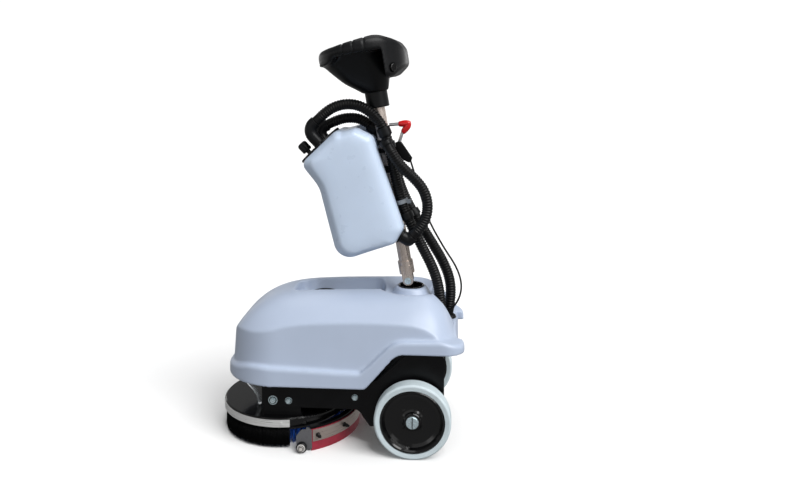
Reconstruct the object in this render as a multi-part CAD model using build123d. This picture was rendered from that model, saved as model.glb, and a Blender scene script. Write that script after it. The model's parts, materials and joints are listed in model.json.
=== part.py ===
from build123d import *
from math import atan2, cos, degrees, hypot, pi, radians, sin, sqrt, tan
import os

# Walk-behind floor scrubber. Millimetres, +Z up, front of the machine at -X, right side at +Y.
# The origin is on the floor, under the middle of the overall box.

# Wheels and axle
AXLE_X = 201.0
WHEEL_R = 97.0
TYRE_WIDTH = 42.0
WHEEL_FACE_Y = 204.0
HUB_R = 82.0
HUB_BOSS_R = 23.0
AXLE_R = 10.0
AXLE_END_Y = 200.3
RUNNING_GAP = 0.05
MOVING_GAP = 0.3

# Brush deck
DECK_X = AXLE_X - 355.0
DECK_R = 171.0
DECK_TOP_Z = 82.0
DECK_PLATE = 5.0
SKIRT_R = 169.0
SKIRT_TOP_Z = 66.0
SKIRT_BOTTOM_Z = 4.0
BAND_HEIGHT = 19.0
BAND_THICKNESS = 1.6
BRUSH_R = 148.0
BRUSH_BLOCK_TOP_Z = 62.0
BRUSH_BLOCK = 22.0
SPINDLE_R = 10.0

# Body cover
COVER_WALL = 4.0
COVER_FRONT_X = AXLE_X - 500.0
COVER_REAR_X = AXLE_X + 129.0
COVER_HALF_WIDTH = 183.0
COVER_BOTTOM_Z = 170.0
COVER_NOSE_R = 150.0
COVER_TAIL_R = 48.0
ARCH_TOP_Z = 262.0
FLANGE_STEP = 4.0
TAIL_STEP = 5.0
TAIL_LIP_Y = 112.0
WALL_DRAFT = 4.5
TRAY_FLOOR_Z = 358.0
TRAY_FRONT_X = AXLE_X - 322.0
TRAY_REAR_X = AXLE_X - 90.0
TRAY_HALF_WIDTH = 45.0
NOTCH_HALF_WIDTH = 52.0
NOTCH_FRONT_X = AXLE_X + 44.0
NOTCH_FLOOR_Z = 300.0

# Chassis
SIDE_PLATE_Y = 146.0
PLATE = 4.0
BASE_Z = 176.0
SQUEEGEE_PIN_X = AXLE_X - 62.0
SQUEEGEE_PIN_Z = 66.0
SQUEEGEE_PIN_R = 6.0

# Tilting pole: the pole frame has its origin on the tilt pin and its local Z along the pole
LEAN = 9.8
PIVOT_X = AXLE_X - 22.0
PIVOT_Z = 408.0
PIN_R = 6.0
POLE_R = 17.0
POLE_WALL = 2.0
POLE_START = 22.0
POLE_END = 560.0
BOSS_X = PIVOT_X + 8.0
BOSS_R = 46.0
BOSS_TOP_Z = 391.0
DISH_Z = 371.0
CUP_R = 32.0

# Hoses
HOSE_R = 14.5
HOSE_ROOT_R = 13.0
HOSE_BORE_R = 11.5
RIB_PITCH = 13.0
CABLE_R = 2.5
CUFF_GAP = HOSE_R + 1.0

POLE = Plane(
    origin=(PIVOT_X, 0, PIVOT_Z),
    x_dir=(cos(radians(LEAN)), 0, sin(radians(LEAN))),
    z_dir=(-sin(radians(LEAN)), 0, cos(radians(LEAN))),
)


# Shared helpers
def on_pole(shape):
    """Place a shape drawn in the pole frame."""
    return POLE.location * shape


def turned(points):
    """Solid of revolution about Z from radius and height points."""
    with BuildSketch(Plane.XZ) as profile:
        with BuildLine():
            Polyline(*points, close=True)
        make_face()
    return revolve(profile.sketch, Axis.Z)


def across(shape, x, z, y=0.0):
    """Turn a shape drawn about Z so that its axis runs along +Y at a place."""
    return Pos(x, y, z) * Rot(-90, 0, 0) * shape


def tube_z(outer, inner, height, z=0.0):
    """Upright tube standing on z."""
    base = (Align.CENTER, Align.CENTER, Align.MIN)
    return Pos(0, 0, z) * (Cylinder(outer, height, align=base) - Cylinder(inner, height, align=base))


def rod_z(radius, height, z=0.0):
    """Upright rod standing on z."""
    return Pos(0, 0, z) * Cylinder(radius, height, align=(Align.CENTER, Align.CENTER, Align.MIN))


def slab(x0, x1, y0, y1, z0, z1):
    """Box between two corners."""
    return Pos((x0 + x1) / 2, (y0 + y1) / 2, (z0 + z1) / 2) * Box(x1 - x0, y1 - y0, z1 - z0)


def side_profile(corners, radii, y0, y1, inset=0.0):
    """Extrude a side outline with rounded corners from y0 to y1. Corners are (x, z)."""
    with BuildSketch(Plane.XZ) as outline:
        with BuildLine():
            Polyline(*corners, close=True)
        make_face()
        for corner, radius in zip(corners, radii):
            if radius:
                near = [v for v in outline.vertices() if abs(v.X - corner[0]) + abs(v.Y - corner[1]) < 0.01]
                fillet(near, radius)
        if inset:
            offset(amount=-inset, mode=Mode.REPLACE)
    return Pos(0, y1, 0) * extrude(outline.sketch, amount=y1 - y0)


def mirrored(shape):
    """The same piece on the other side of the machine."""
    return mirror(shape, Plane.XZ)


def saved(name, shape):
    """Write one named piece."""
    export_step(shape, f"parts/{name}.step")


def group(shapes):
    """Several separate solids under one name."""
    solids = []
    for shape in shapes:
        solids += shape.solids()
    return Compound(children=solids)


# Where the two hoses go down through the floor of the rear notch
HOSE_ENTRIES = [(AXLE_X + 66.0, -24.0), (AXLE_X + 86.0, 18.0)]
GROMMET_R = 18.0
FILLER_X = AXLE_X - 250.0
FILLER_NECK_R = 30.0

os.makedirs("parts", exist_ok=True)


# Body cover
def cover_plan(inset, z, tail_step=0.0):
    """Plan outline of the cover: a round nose and two rounded tail corners."""
    front = COVER_FRONT_X + inset
    rear = COVER_REAR_X - inset - tail_step
    half = COVER_HALF_WIDTH - inset
    with BuildSketch(Plane.XY.offset(z)) as plan:
        with Locations(((front + rear) / 2, 0)):
            Rectangle(rear - front, 2 * half)
        nose = plan.vertices().sort_by(Axis.X)[:2]
        fillet(nose, COVER_NOSE_R - inset)
        tail = plan.vertices().group_by(Axis.X)[-1]
        fillet(tail, COVER_TAIL_R - inset)
    return plan.sketch


def cover_dome(drop):
    """Domed top lofted through cross sections from nose to tail, lowered by drop."""
    # distance behind the axle, ridge height, fall at the shoulder, fall at the side wall
    stations = [
        (-512, 212, 6, 36),
        (-496, 256, 8, 50),
        (-476, 292, 11, 64),
        (-438, 335, 13, 69),
        (-392, 364, 13, 68),
        (-340, 381, 13, 66),
        (-262, 390, 12, 64),
        (-180, 393, 11, 63),
        (-105, 395, 11, 64),
        (-40, 396, 11, 67),
        (40, 386, 12, 73),
        (80, 350, 13, 72),
        (108, 296, 12, 64),
        (140, 206, 12, 50),
    ]
    shoulder_y, wall_y, skirt_y, skirt_fall, foot_z = 103, 168, 230, 40, 60
    sections = []
    for x, ridge, shoulder, wall in stations:
        top = ridge - drop
        low = top - wall - skirt_fall
        plane = Plane(origin=(AXLE_X + x, 0, 0), x_dir=(0, 1, 0), z_dir=(1, 0, 0))
        with BuildSketch(plane) as section:
            with BuildLine():
                Spline(
                    (-skirt_y, low), (-wall_y, top - wall), (-shoulder_y, top - shoulder), (0, top),
                    (shoulder_y, top - shoulder), (wall_y, top - wall), (skirt_y, low),
                )
                Polyline((skirt_y, low), (skirt_y, foot_z), (-skirt_y, foot_z), (-skirt_y, low))
            make_face()
        sections.append(section.sketch)
    return loft(sections)


def flange_zone(drop):
    """Side outline under the step line that runs over the wheel arch."""
    corners = [
        (AXLE_X - 563, 176 - drop), (AXLE_X - 415, 222 - drop), (AXLE_X - 132, 212 - drop),
        (AXLE_X - 46, 294 - drop), (AXLE_X + 72, 297 - drop), (AXLE_X + 150, 276 - drop), (AXLE_X + 150, 90),
        (AXLE_X - 563, 90),
    ]
    return side_profile(corners, [0, 200, 14, 60, 30, 0, 0, 0], -240, 240)


def cover_block(inset):
    """Solid form of the cover, taken in by inset on every side but the bottom."""
    start = COVER_BOTTOM_Z - 40
    wall = extrude(cover_plan(inset + FLANGE_STEP, start, TAIL_STEP), amount=300, taper=WALL_DRAFT)
    flange = extrude(cover_plan(inset, start), amount=200, taper=1.5) & flange_zone(inset)
    lip_y = TAIL_LIP_Y + inset
    flange -= slab(COVER_REAR_X - 60, COVER_REAR_X + 60, -lip_y, lip_y, 0, 400)
    block = (wall & cover_dome(inset)) + flange
    half = TRAY_HALF_WIDTH + inset
    tray_plane = Plane.XY.offset(TRAY_FLOOR_Z - inset)
    with BuildSketch(tray_plane) as tray:
        with Locations(((TRAY_FRONT_X + TRAY_REAR_X) / 2, 0)):
            RectangleRounded(TRAY_REAR_X - TRAY_FRONT_X + 2 * inset, 2 * half, 24 + inset)
    block -= extrude(tray.sketch, amount=80, taper=-14)
    floor = DISH_Z - inset
    block -= Pos(BOSS_X, 0, 0) * turned([(0, floor), (BOSS_R + 9, floor), (BOSS_R + 50, floor + 22), (0, 460)])
    notch_half = NOTCH_HALF_WIDTH + inset
    with BuildSketch(Plane.XY.offset(NOTCH_FLOOR_Z - inset)) as notch:
        with Locations((NOTCH_FRONT_X - inset + 100, 0)):
            Rectangle(200, 2 * notch_half)
        fillet(notch.vertices().group_by(Axis.X)[0], 26 + inset)
    block -= extrude(notch.sketch, amount=160, taper=-3)
    return block


def body_cover():
    """Moulded cover: hollow, open below, cut up over the wheels, with the pole boss and hose holes."""
    shell = cover_block(0.0) - cover_block(COVER_WALL)
    below = [
        (COVER_FRONT_X - 80, 0), (COVER_FRONT_X - 80, COVER_BOTTOM_Z), (AXLE_X - 124, COVER_BOTTOM_Z),
        (AXLE_X - 44, ARCH_TOP_Z), (COVER_REAR_X + 40, ARCH_TOP_Z), (COVER_REAR_X + 40, 0),
    ]
    shell -= side_profile(below, [0, 0, 16, 46, 0, 0], -260, 260)
    shell += Pos(BOSS_X, 0, 0) * turned([
        (0, 340), (BOSS_R + 10, 340), (BOSS_R + 6, DISH_Z), (BOSS_R - 3, BOSS_TOP_Z - 3),
        (BOSS_R - 6, BOSS_TOP_Z), (0, BOSS_TOP_Z),
    ])
    shell -= Pos(BOSS_X, 0, 0) * rod_z(CUP_R, 160, 300)
    for x, y in HOSE_ENTRIES:
        shell -= Pos(x, y, 0) * rod_z(GROMMET_R, 60, NOTCH_FLOOR_Z - 30)
    shell -= Pos(FILLER_X, 0, 0) * rod_z(FILLER_NECK_R + 0.5, 40, TRAY_FLOOR_Z - 20)
    return shell


# Chassis
def chassis_frame():
    """Welded steel frame: two side plates, base plate, axle tube and squeegee lugs."""
    outline = [
        (AXLE_X - 392, 104), (AXLE_X - 142, 104), (AXLE_X - 112, 60), (AXLE_X + 46, 60),
        (AXLE_X + 78, 96), (AXLE_X + 78, 250), (AXLE_X - 22, 250), (AXLE_X - 100, BASE_Z),
        (AXLE_X - 392, BASE_Z),
    ]
    plate = side_profile(outline, [10, 20, 8, 20, 14, 8, 20, 20, 10], SIDE_PLATE_Y, SIDE_PLATE_Y + PLATE)
    base = slab(AXLE_X - 410, AXLE_X + 32, -150, 150, BASE_Z, BASE_Z + PLATE)
    axle_tube = across(rod_z(16, 2 * SIDE_PLATE_Y), AXLE_X, WHEEL_R, -SIDE_PLATE_Y)
    lug_corners = [
        (SQUEEGEE_PIN_X - 14, SQUEEGEE_PIN_Z - 14), (SQUEEGEE_PIN_X + 14, SQUEEGEE_PIN_Z - 14),
        (SQUEEGEE_PIN_X + 14, BASE_Z), (SQUEEGEE_PIN_X - 14, BASE_Z),
    ]
    lug = side_profile(lug_corners, [12, 12, 0, 0], 44, 48)
    frame = plate + mirrored(plate) + base + axle_tube + lug + mirrored(lug)
    frame -= across(rod_z(AXLE_R, 400), AXLE_X, WHEEL_R, -200)
    frame -= across(rod_z(SQUEEGEE_PIN_R, 120), SQUEEGEE_PIN_X, SQUEEGEE_PIN_Z, -60)
    return frame


def deck_bracket():
    """Two bent hangers that bolt the deck to the side plates."""
    corners = [(DECK_X - 36, DECK_TOP_Z), (DECK_X + 66, DECK_TOP_Z), (DECK_X + 52, 150), (DECK_X - 30, 150)]
    web = side_profile(corners, [0, 0, 10, 10], SIDE_PLATE_Y - PLATE, SIDE_PLATE_Y)
    foot = slab(DECK_X - 36, DECK_X + 66, 112, SIDE_PLATE_Y - PLATE, DECK_TOP_Z, DECK_TOP_Z + PLATE)
    hanger = web + foot
    return group([hanger, mirrored(hanger)])


def frame_bolts():
    """Hexagon bolts on the side plates, screws on the hanger feet and slotted wheel bolts."""
    face = SIDE_PLATE_Y + PLATE
    bolts = []
    for x, z, washer, head in ((DECK_X - 8, 122, 12, 7), (DECK_X + 33, 122, 9, 6), (AXLE_X - 150, 136, 8, 6)):
        with BuildSketch() as hexagon:
            RegularPolygon(head, 6)
        bolt = rod_z(washer, 2) + Pos(0, 0, 2) * extrude(hexagon.sketch, amount=5)
        placed = across(bolt, x, z, face)
        bolts += [placed, mirrored(placed)]
    for x in (DECK_X - 22, DECK_X + 50):
        screw = Pos(x, 126, DECK_TOP_Z + PLATE) * (rod_z(7, 1.5) + rod_z(5, 3, 1.5))
        bolts += [screw, mirrored(screw)]
    head = fillet(rod_z(16, 4.6).edges().group_by(Axis.Z)[-1], 2) - Pos(0, 0, 4.6) * Box(2.4, 40, 3)
    wheel_bolt = across(head, AXLE_X, WHEEL_R, AXLE_END_Y)
    return group(bolts + [wheel_bolt, mirrored(wheel_bolt)])


def solution_tank():
    """Clean-water tank in the nose of the body with its filler neck."""
    corners = [
        (AXLE_X - 466, BASE_Z + PLATE), (AXLE_X - 215, BASE_Z + PLATE), (AXLE_X - 215, 330),
        (AXLE_X - 340, 330), (AXLE_X - 428, 280), (AXLE_X - 466, 236),
    ]
    radii = [8, 20, 20, 30, 30, 20]
    tank = side_profile(corners, radii, -98, 98) - side_profile(corners, radii, -94, 94, COVER_WALL)
    neck = rod_z(FILLER_NECK_R, TRAY_FLOOR_Z - 328, 328)
    return tank + Pos(FILLER_X, 0, 0) * neck - Pos(FILLER_X, 0, 0) * rod_z(FILLER_NECK_R - 4, 80, 320)


def filler_cap():
    """Screw cap in the tray, with a ribbed grip."""
    cap = rod_z(38, 9)
    cap = fillet(cap.edges().group_by(Axis.Z)[-1], 3)
    cap -= Pos(0, 0, 6) * (tube_z(28, 8, 4) - Box(12, 80, 20))
    plug = rod_z(FILLER_NECK_R - 5, 12, -12)
    return Pos(FILLER_X, 0, TRAY_FLOOR_Z + MOVING_GAP) * (cap + plug)


def pivot_bracket():
    """Post on the base plate with the lug that carries the tilt pin."""
    low = BASE_Z + PLATE
    post = rod_z(30, 8, low) + rod_z(22, 372 - low, low) + rod_z(26, 8, 372)
    lug = slab(-14, 14, -12.5, 12.5, 380, PIVOT_Z) + across(rod_z(14, 25), 0, PIVOT_Z, -12.5)
    lug -= across(rod_z(PIN_R, 60), 0, PIVOT_Z, -30)
    return Pos(BOSS_X, 0, 0) * post + Pos(PIVOT_X, 0, 0) * lug


def pivot_cup():
    """Black cup that lines the boss around the pole foot."""
    profile = [
        (23, 364), (CUP_R - 0.2, 364), (CUP_R - 0.2, BOSS_TOP_Z), (CUP_R + 3, BOSS_TOP_Z),
        (CUP_R + 3, BOSS_TOP_Z + 1.5), (CUP_R + 1, BOSS_TOP_Z + 2.5), (CUP_R - 2, BOSS_TOP_Z + 1),
        (CUP_R - 3, 367), (23, 367),
    ]
    return Pos(BOSS_X, 0, 0) * turned(profile)


def pivot_pin():
    """Tilt pin with a head and a clip groove."""
    pin = rod_z(PIN_R, 44) + rod_z(9, 3, -3)
    pin -= tube_z(PIN_R + 1, PIN_R - 1, 1.4, 40.8)
    return across(pin, PIVOT_X, PIVOT_Z, -22)


def hose_grommets():
    """Two rubber collars where the hoses pass through the notch floor."""
    collars = []
    for x, y in HOSE_ENTRIES:
        profile = [
            (HOSE_R + 0.5, NOTCH_FLOOR_Z - 8), (GROMMET_R, NOTCH_FLOOR_Z - 8), (GROMMET_R, NOTCH_FLOOR_Z),
            (GROMMET_R + 4, NOTCH_FLOOR_Z), (GROMMET_R + 2, NOTCH_FLOOR_Z + 5),
            (HOSE_R + 0.5, NOTCH_FLOOR_Z + 9),
        ]
        collars.append(Pos(x, y, 0) * turned(profile))
    return group(collars)


# Brush deck
def sector(inner, outer, z0, z1, start, span):
    """Part of a ring about the deck centre, from a start angle through a span in degrees."""
    with BuildSketch(Plane.XY.offset(z0)) as ring:
        with BuildLine():
            first = CenterArc((0, 0), outer, start, span)
            second = CenterArc((0, 0), inner, start, span)
            Line(first @ 0, second @ 0)
            Line(first @ 1, second @ 1)
        make_face()
    return Pos(DECK_X, 0, 0) * extrude(ring.sketch, amount=z1 - z0)


SKIRT_START = 77.0
SKIRT_SPAN = 360.0 - 2 * SKIRT_START


def brush_deck():
    """Pressed round plate with a turned-down rim, stiffening ring and shaft hole."""
    rim_low = SKIRT_TOP_Z - 4
    profile = [
        (30, DECK_TOP_Z - DECK_PLATE), (DECK_R - 3, DECK_TOP_Z - DECK_PLATE), (DECK_R - 3, rim_low),
        (DECK_R, rim_low), (DECK_R, DECK_TOP_Z - 3), (DECK_R - 3, DECK_TOP_Z), (30, DECK_TOP_Z),
    ]
    return Pos(DECK_X, 0, 0) * turned(profile)


def gear_motor():
    """Gearbox over the brush with its motor can lying back under the base plate."""
    bore = SPINDLE_R + RUNNING_GAP
    gearbox = turned([(bore, 0), (52, 0), (52, 8), (46, 10), (46, 60), (40, 70), (0, 70), (0, 61), (bore, 61)])
    can = Pos(30, 0, 42) * Rot(0, 90, 0) * turned([(0, 0), (34, 0), (34, 88), (30, 96), (0, 96)])
    can -= rod_z(45, 120, -10)
    return Pos(DECK_X, 0, DECK_TOP_Z) * (gearbox + can)


def skirt_band():
    """Steel band round the front of the rim with folded ends."""
    low = DECK_TOP_Z - 4 - BAND_HEIGHT
    band = sector(DECK_R, DECK_R + BAND_THICKNESS, low, low + BAND_HEIGHT, SKIRT_START, SKIRT_SPAN)
    for angle in (SKIRT_START + 7, 360 - SKIRT_START - 7):
        place = Pos(DECK_X, 0, low + BAND_HEIGHT / 2) * Rot(0, 0, angle) * Pos(DECK_R, 0, 0)
        band += place * Rot(0, 90, 0) * rod_z(3.4, BAND_THICKNESS + 2)
    return band


def strand(x, y, z0, z1, half, sides, turn):
    """One straight bristle of three or four sides."""
    with BuildSketch(Plane.XY.offset(z0)) as tip:
        with Locations(Location((x, y, 0), (0, 0, turn))):
            RegularPolygon(half, sides)
    return extrude(tip.sketch, amount=z1 - z0)


SKIRT_STRANDS = 164


def skirt_brush():
    """Dense row of black bristles in a backing strip under the front rim."""
    middle = SKIRT_R - 5
    backing_low = SKIRT_TOP_Z - 8
    backing = sector(middle - 3.5, middle + 3.5, backing_low, DECK_TOP_Z - DECK_PLATE, SKIRT_START, SKIRT_SPAN)
    strands = []
    for i in range(SKIRT_STRANDS):
        angle = SKIRT_START + 1 + i * (SKIRT_SPAN - 2) / (SKIRT_STRANDS - 1)
        x = DECK_X + middle * cos(radians(angle))
        y = middle * sin(radians(angle))
        strands.append(strand(x, y, SKIRT_BOTTOM_Z, backing_low + 1, 1.9, 3, angle + 180 * (i % 2)))
    return backing.fuse(*strands)


def brush_block():
    """Round brush back with a hub and the spindle that runs up into the gearbox."""
    low = BRUSH_BLOCK_TOP_Z - BRUSH_BLOCK
    top = BRUSH_BLOCK_TOP_Z
    profile = [
        (0, low), (BRUSH_R - 4, low), (BRUSH_R, low + 6), (BRUSH_R, top - 6), (BRUSH_R - 6, top), (34, top),
        (28, top + 12), (SPINDLE_R, top + 12), (SPINDLE_R, DECK_TOP_Z + 60), (0, DECK_TOP_Z + 60),
    ]
    return Pos(DECK_X, 0, 0) * turned(profile)


TUFT_RINGS = ((64, 28), (88, 40), (112, 54), (136, 64))


def brush_bristles():
    """Blue tufts of the scrub brush on rings, fused to a slice of the brush back."""
    low = BRUSH_BLOCK_TOP_Z - BRUSH_BLOCK
    backing = Pos(DECK_X, 0, 0) * tube_z(BRUSH_R - 5, 50, 3, low - 3)
    tufts = []
    for radius, count in TUFT_RINGS:
        for i in range(count):
            angle = 360 * i / count
            x = DECK_X + radius * cos(radians(angle))
            y = radius * sin(radians(angle))
            tufts.append(strand(x, y, 0, low - 2, 4.6, 4, angle))
    return backing.fuse(*tufts)


# Wheels, drawn with the outer face up
def tyre():
    """Pale solid rubber tyre with rounded shoulders."""
    w = TYRE_WIDTH
    with BuildSketch(Plane.XZ) as profile:
        with BuildLine():
            Polyline(
                (HUB_R, 1.5), (WHEEL_R - 4, 0), (WHEEL_R, 4), (WHEEL_R, w - 4), (WHEEL_R - 4, w),
                (HUB_R, w - 1.5), close=True,
            )
        make_face()
        fillet(profile.vertices().filter_by(lambda v: v.X > 90), 4)
    return revolve(profile.sketch, Axis.Z)


def hub():
    """Dished hub with a rolled lip, a web and a bored boss."""
    bore = AXLE_R + RUNNING_GAP
    profile = turned([
        (bore, 2), (HUB_BOSS_R, 2), (HUB_BOSS_R + 2, 14), (HUB_R - 8, 18), (HUB_R - 6, 4), (HUB_R, 4),
        (HUB_R, 38), (HUB_R - 3, 41), (HUB_R - 6, 41), (HUB_R - 9, 37), (HUB_R - 12, 28), (HUB_R - 20, 25),
        (28, 25), (HUB_BOSS_R, 28), (HUB_BOSS_R, 36), (HUB_BOSS_R - 2, 38), (bore, 38),
    ])
    for i in range(4):
        spot = Rot(0, 0, 45 + 90 * i) * Pos(34, 0, 25)
        profile += spot * rod_z(3, 2.5)
    return profile


def wheel_right(shape):
    """Place a wheel piece on the right-hand end of the axle."""
    return across(shape, AXLE_X, WHEEL_R, WHEEL_FACE_Y - TYRE_WIDTH)


# Squeegee: arcs about the deck centre, open to the front
SQUEEGEE_SPAN = 61.0
KNOB_ANGLES = (-56, -31, 0, 31, 56)
ROLLER_R = 13.5
ROLLER_X = AXLE_X - 283.0
ROLLER_FACE_Y = 178.5
ROLLER_Z = 14.2


def squeegee_arc(inner, outer, z0, z1, half=SQUEEGEE_SPAN):
    """Part of a ring behind the brush, even about the mid-plane."""
    return sector(inner, outer, z0, z1, -half, 2 * half)


def squeegee_frame():
    """Curved bar that the blades clamp to, with two arms welded on that reach back to the hinge pin."""
    bar = squeegee_arc(184, 194, 26, 62) + squeegee_arc(180, 194, 58, 62)
    pin = (SQUEEGEE_PIN_X, SQUEEGEE_PIN_Z)
    corners = [
        (DECK_X + 184, 60), (pin[0] + 2, pin[1] - 10), (pin[0] + 2, pin[1] + 10), (DECK_X + 184, 74),
    ]
    arm = side_profile(corners, [0, 0, 0, 6], 34, 40) + across(rod_z(11, 9), *pin, 34)
    arm -= across(rod_z(SQUEEGEE_PIN_R + RUNNING_GAP, 40), *pin, 20)
    cross = slab(DECK_X + 210, DECK_X + 220, -40, 40, 60, 72)
    return bar + arm + mirrored(arm) + cross


def clamp_knobs():
    """Studs with small knobs along the clamp strip."""
    knob = turned([(0, -2), (6, -2), (6, 0), (4.6, 1), (4.6, 9), (3, 10.5), (3, 14), (0, 14)])
    knobs = []
    for angle in KNOB_ANGLES:
        knobs.append(Pos(DECK_X, 0, 40) * Rot(0, 0, angle) * Pos(200.5, 0, 0) * Rot(0, 90, 0) * knob)
    return group(knobs)


def end_plates():
    """Plates that close the squeegee ends and carry the bumper rollers."""
    corners = [
        (ROLLER_X - 15, ROLLER_Z + 6), (ROLLER_X - 8, ROLLER_Z - 10), (ROLLER_X + 14, ROLLER_Z - 8),
        (AXLE_X - 252, 8), (AXLE_X - 252, 56), (ROLLER_X - 2, 56), (ROLLER_X - 15, 40),
    ]
    plate = side_profile(corners, [6, 6, 0, 0, 3, 4, 4], 172, 176)
    rib = slab(AXLE_X - 274, AXLE_X - 256, 158, 172, 30, 56)
    pin = across(rod_z(5, 18) + rod_z(7, 3, 17), ROLLER_X, ROLLER_Z, 176)
    piece = plate + rib + pin - squeegee_arc(150, 230, 0, 70)
    return group([piece, mirrored(piece)])


def roller():
    """Small bumper wheel with a raised ring, on the right-hand side."""
    inner = 5 + RUNNING_GAP
    body = turned([
        (inner, 0), (ROLLER_R - 1.5, 0), (ROLLER_R, 2), (ROLLER_R, 10), (ROLLER_R - 1.5, 12),
        (10, 12), (10, 13.5), (8, 13.5), (8, 12), (inner, 12),
    ])
    return across(body, ROLLER_X, ROLLER_Z, ROLLER_FACE_Y)


def suction_nozzle():
    """Outlet on top of the squeegee channel for the suction hose."""
    flange = slab(DECK_X + 182, DECK_X + 196, -30, 30, 62, 68)
    spout = Pos(DECK_X + 189, 0, 0) * turned([
        (9, 62), (17, 62), (17, 72), (15, 74), (11.2, 76), (11.2, 96), (9, 96),
    ])
    return flange + spout - Pos(DECK_X + 189, 0, 0) * rod_z(9, 60, 50)


def squeegee_pin():
    """Hinge pin through the two lugs."""
    pin = rod_z(SQUEEGEE_PIN_R, 104) + rod_z(9, 3, -3)
    return across(pin, SQUEEGEE_PIN_X, SQUEEGEE_PIN_Z, -52)


# Pole, drawn upright in the pole frame: +X to the rear, Z along the pole
def pole_tube():
    """Steel tube from the yoke up into the handle."""
    return tube_z(POLE_R, POLE_R - POLE_WALL, POLE_END - POLE_START, POLE_START)


def pole_yoke():
    """Fork at the foot of the pole that straddles the pivot lug."""
    ear = slab(-14, 14, 13, 19, 0, 40) + across(rod_z(14, 6), 0, 0, 13)
    fork = ear + mirrored(ear) + rod_z(20.5, 34, 18)
    fork -= rod_z(POLE_R, 60, POLE_START)
    fork -= across(rod_z(PIN_R + RUNNING_GAP, 60), 0, 0, -30)
    return fork


# Recovery tank
LID_CENTRE = (-170.0, 394.0)
LID_SLOPE = 34.0
LID_R = 67.0
LID_RIM = 6.0
LID_FLOOR = 3.0
LID_INSERT_R = 46.0
LID_PORT_Y = 27.0
TANK_HALF_WIDTH = 105.0
TANK_WALL = 3.0
TANK_EDGE = 16.0
DRAIN_FACE = (5.3, 134.1)
DRAIN_Y = -64.0
CHANNEL_P = -27.0
SHOULDER_P = -64.0
CHANNEL_HALF_WIDTH = 24.0
HOSE_CHANNEL_HALF_WIDTH = 56.0
LID = Plane(
    origin=(LID_CENTRE[0], 0, LID_CENTRE[1]),
    x_dir=(cos(radians(LID_SLOPE)), 0, sin(radians(LID_SLOPE))),
    z_dir=(-sin(radians(LID_SLOPE)), 0, cos(radians(LID_SLOPE))),
)


def on_lid(shape):
    """Place a shape drawn on the lid, in the pole frame."""
    return LID.location * shape


def lid_line(along):
    """Point on the slanted top of the tank in the side view, measured from the lid's centre."""
    return LID_CENTRE[0] + along * cos(radians(LID_SLOPE)), LID_CENTRE[1] + along * sin(radians(LID_SLOPE))


def tank_block(inset):
    """Side outline of the tank through its width, with bevelled sides, taken in by inset."""
    corners = [
        lid_line(-58), lid_line(68), (-96, 427), (-58, 431), (-20, 402), (20, 153), (-8, 118), (-166, 91),
        (-175, 206), (-181, 294),
    ]
    radii = [20, 20, 8, 22, 22, 20, 20, 42, 200, 90]
    half = TANK_HALF_WIDTH - inset
    block = side_profile(corners, radii, -half, half, inset)
    sides = [e for e in block.edges() if abs(abs(e.center().Y) - half) < 0.01]
    block = chamfer(sides, TANK_EDGE - 0.6 * inset)
    for p, width, low in (
        (CHANNEL_P, CHANNEL_HALF_WIDTH, 60), (CHANNEL_P, HOSE_CHANNEL_HALF_WIDTH, 156),
        (SHOULDER_P, HOSE_CHANNEL_HALF_WIDTH, 378),
    ):
        block -= slab(p - inset, 80, -width - inset, width + inset, low - inset, 480)
    return block


def on_drain_face(shape):
    """Place a shape on the slanted foot of the tank's back, with local Z pointing out."""
    place = Plane(origin=(DRAIN_FACE[0], DRAIN_Y, DRAIN_FACE[1]), z_dir=(35, 0, -28))
    return place.location * shape


def recovery_tank():
    """Blow-moulded tank with a channel for the pole, a neck under the lid and a drain port."""
    neck = on_lid(rod_z(50, 14, -14))
    mouth = on_lid(rod_z(46, 40, -30))
    port = on_drain_face(rod_z(HOSE_BORE_R, 20, -10))
    return tank_block(0.0) + neck - tank_block(TANK_WALL) - mouth - port


def tank_lid():
    """Round lid with a raised rim and finger notches."""
    lid = turned([
        (0, 0), (LID_R, 0), (LID_R, LID_RIM - 2), (LID_R - 2, LID_RIM), (LID_R - 8, LID_RIM),
        (LID_R - 10, LID_FLOOR), (0, LID_FLOOR),
    ])
    for i in range(12):
        lid -= Rot(0, 0, 30 * i + 15) * Pos(LID_R + 4, 0, -1) * rod_z(6, 12)
    return on_lid(lid)


def lid_insert():
    """Grey centre of the lid that carries the two elbows."""
    return on_lid(rod_z(LID_INSERT_R, LID_RIM - LID_FLOOR, LID_FLOOR))


KNOB_PLACE = (-33.0, -12.0)
KNOB_R = 8.0
KNOB_STEM_R = 5.0
KNOB_TOP = 42.0


def lid_knob():
    """Lobed clamp knob on the front of the lid."""
    low = LID_RIM + MOVING_GAP
    knob = turned([
        (0, low), (KNOB_STEM_R, low), (KNOB_STEM_R, 22), (KNOB_R, 25), (KNOB_R, KNOB_TOP - 3),
        (KNOB_R - 2, KNOB_TOP), (0, KNOB_TOP),
    ])
    for i in range(6):
        knob -= Rot(0, 0, 60 * i) * Pos(KNOB_R + 2, 0, 20) * rod_z(3.5, 30)
    return on_lid(Pos(*KNOB_PLACE, 0) * knob)


ELBOW_R = 16.5
ELBOW_END = 8.0


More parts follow.
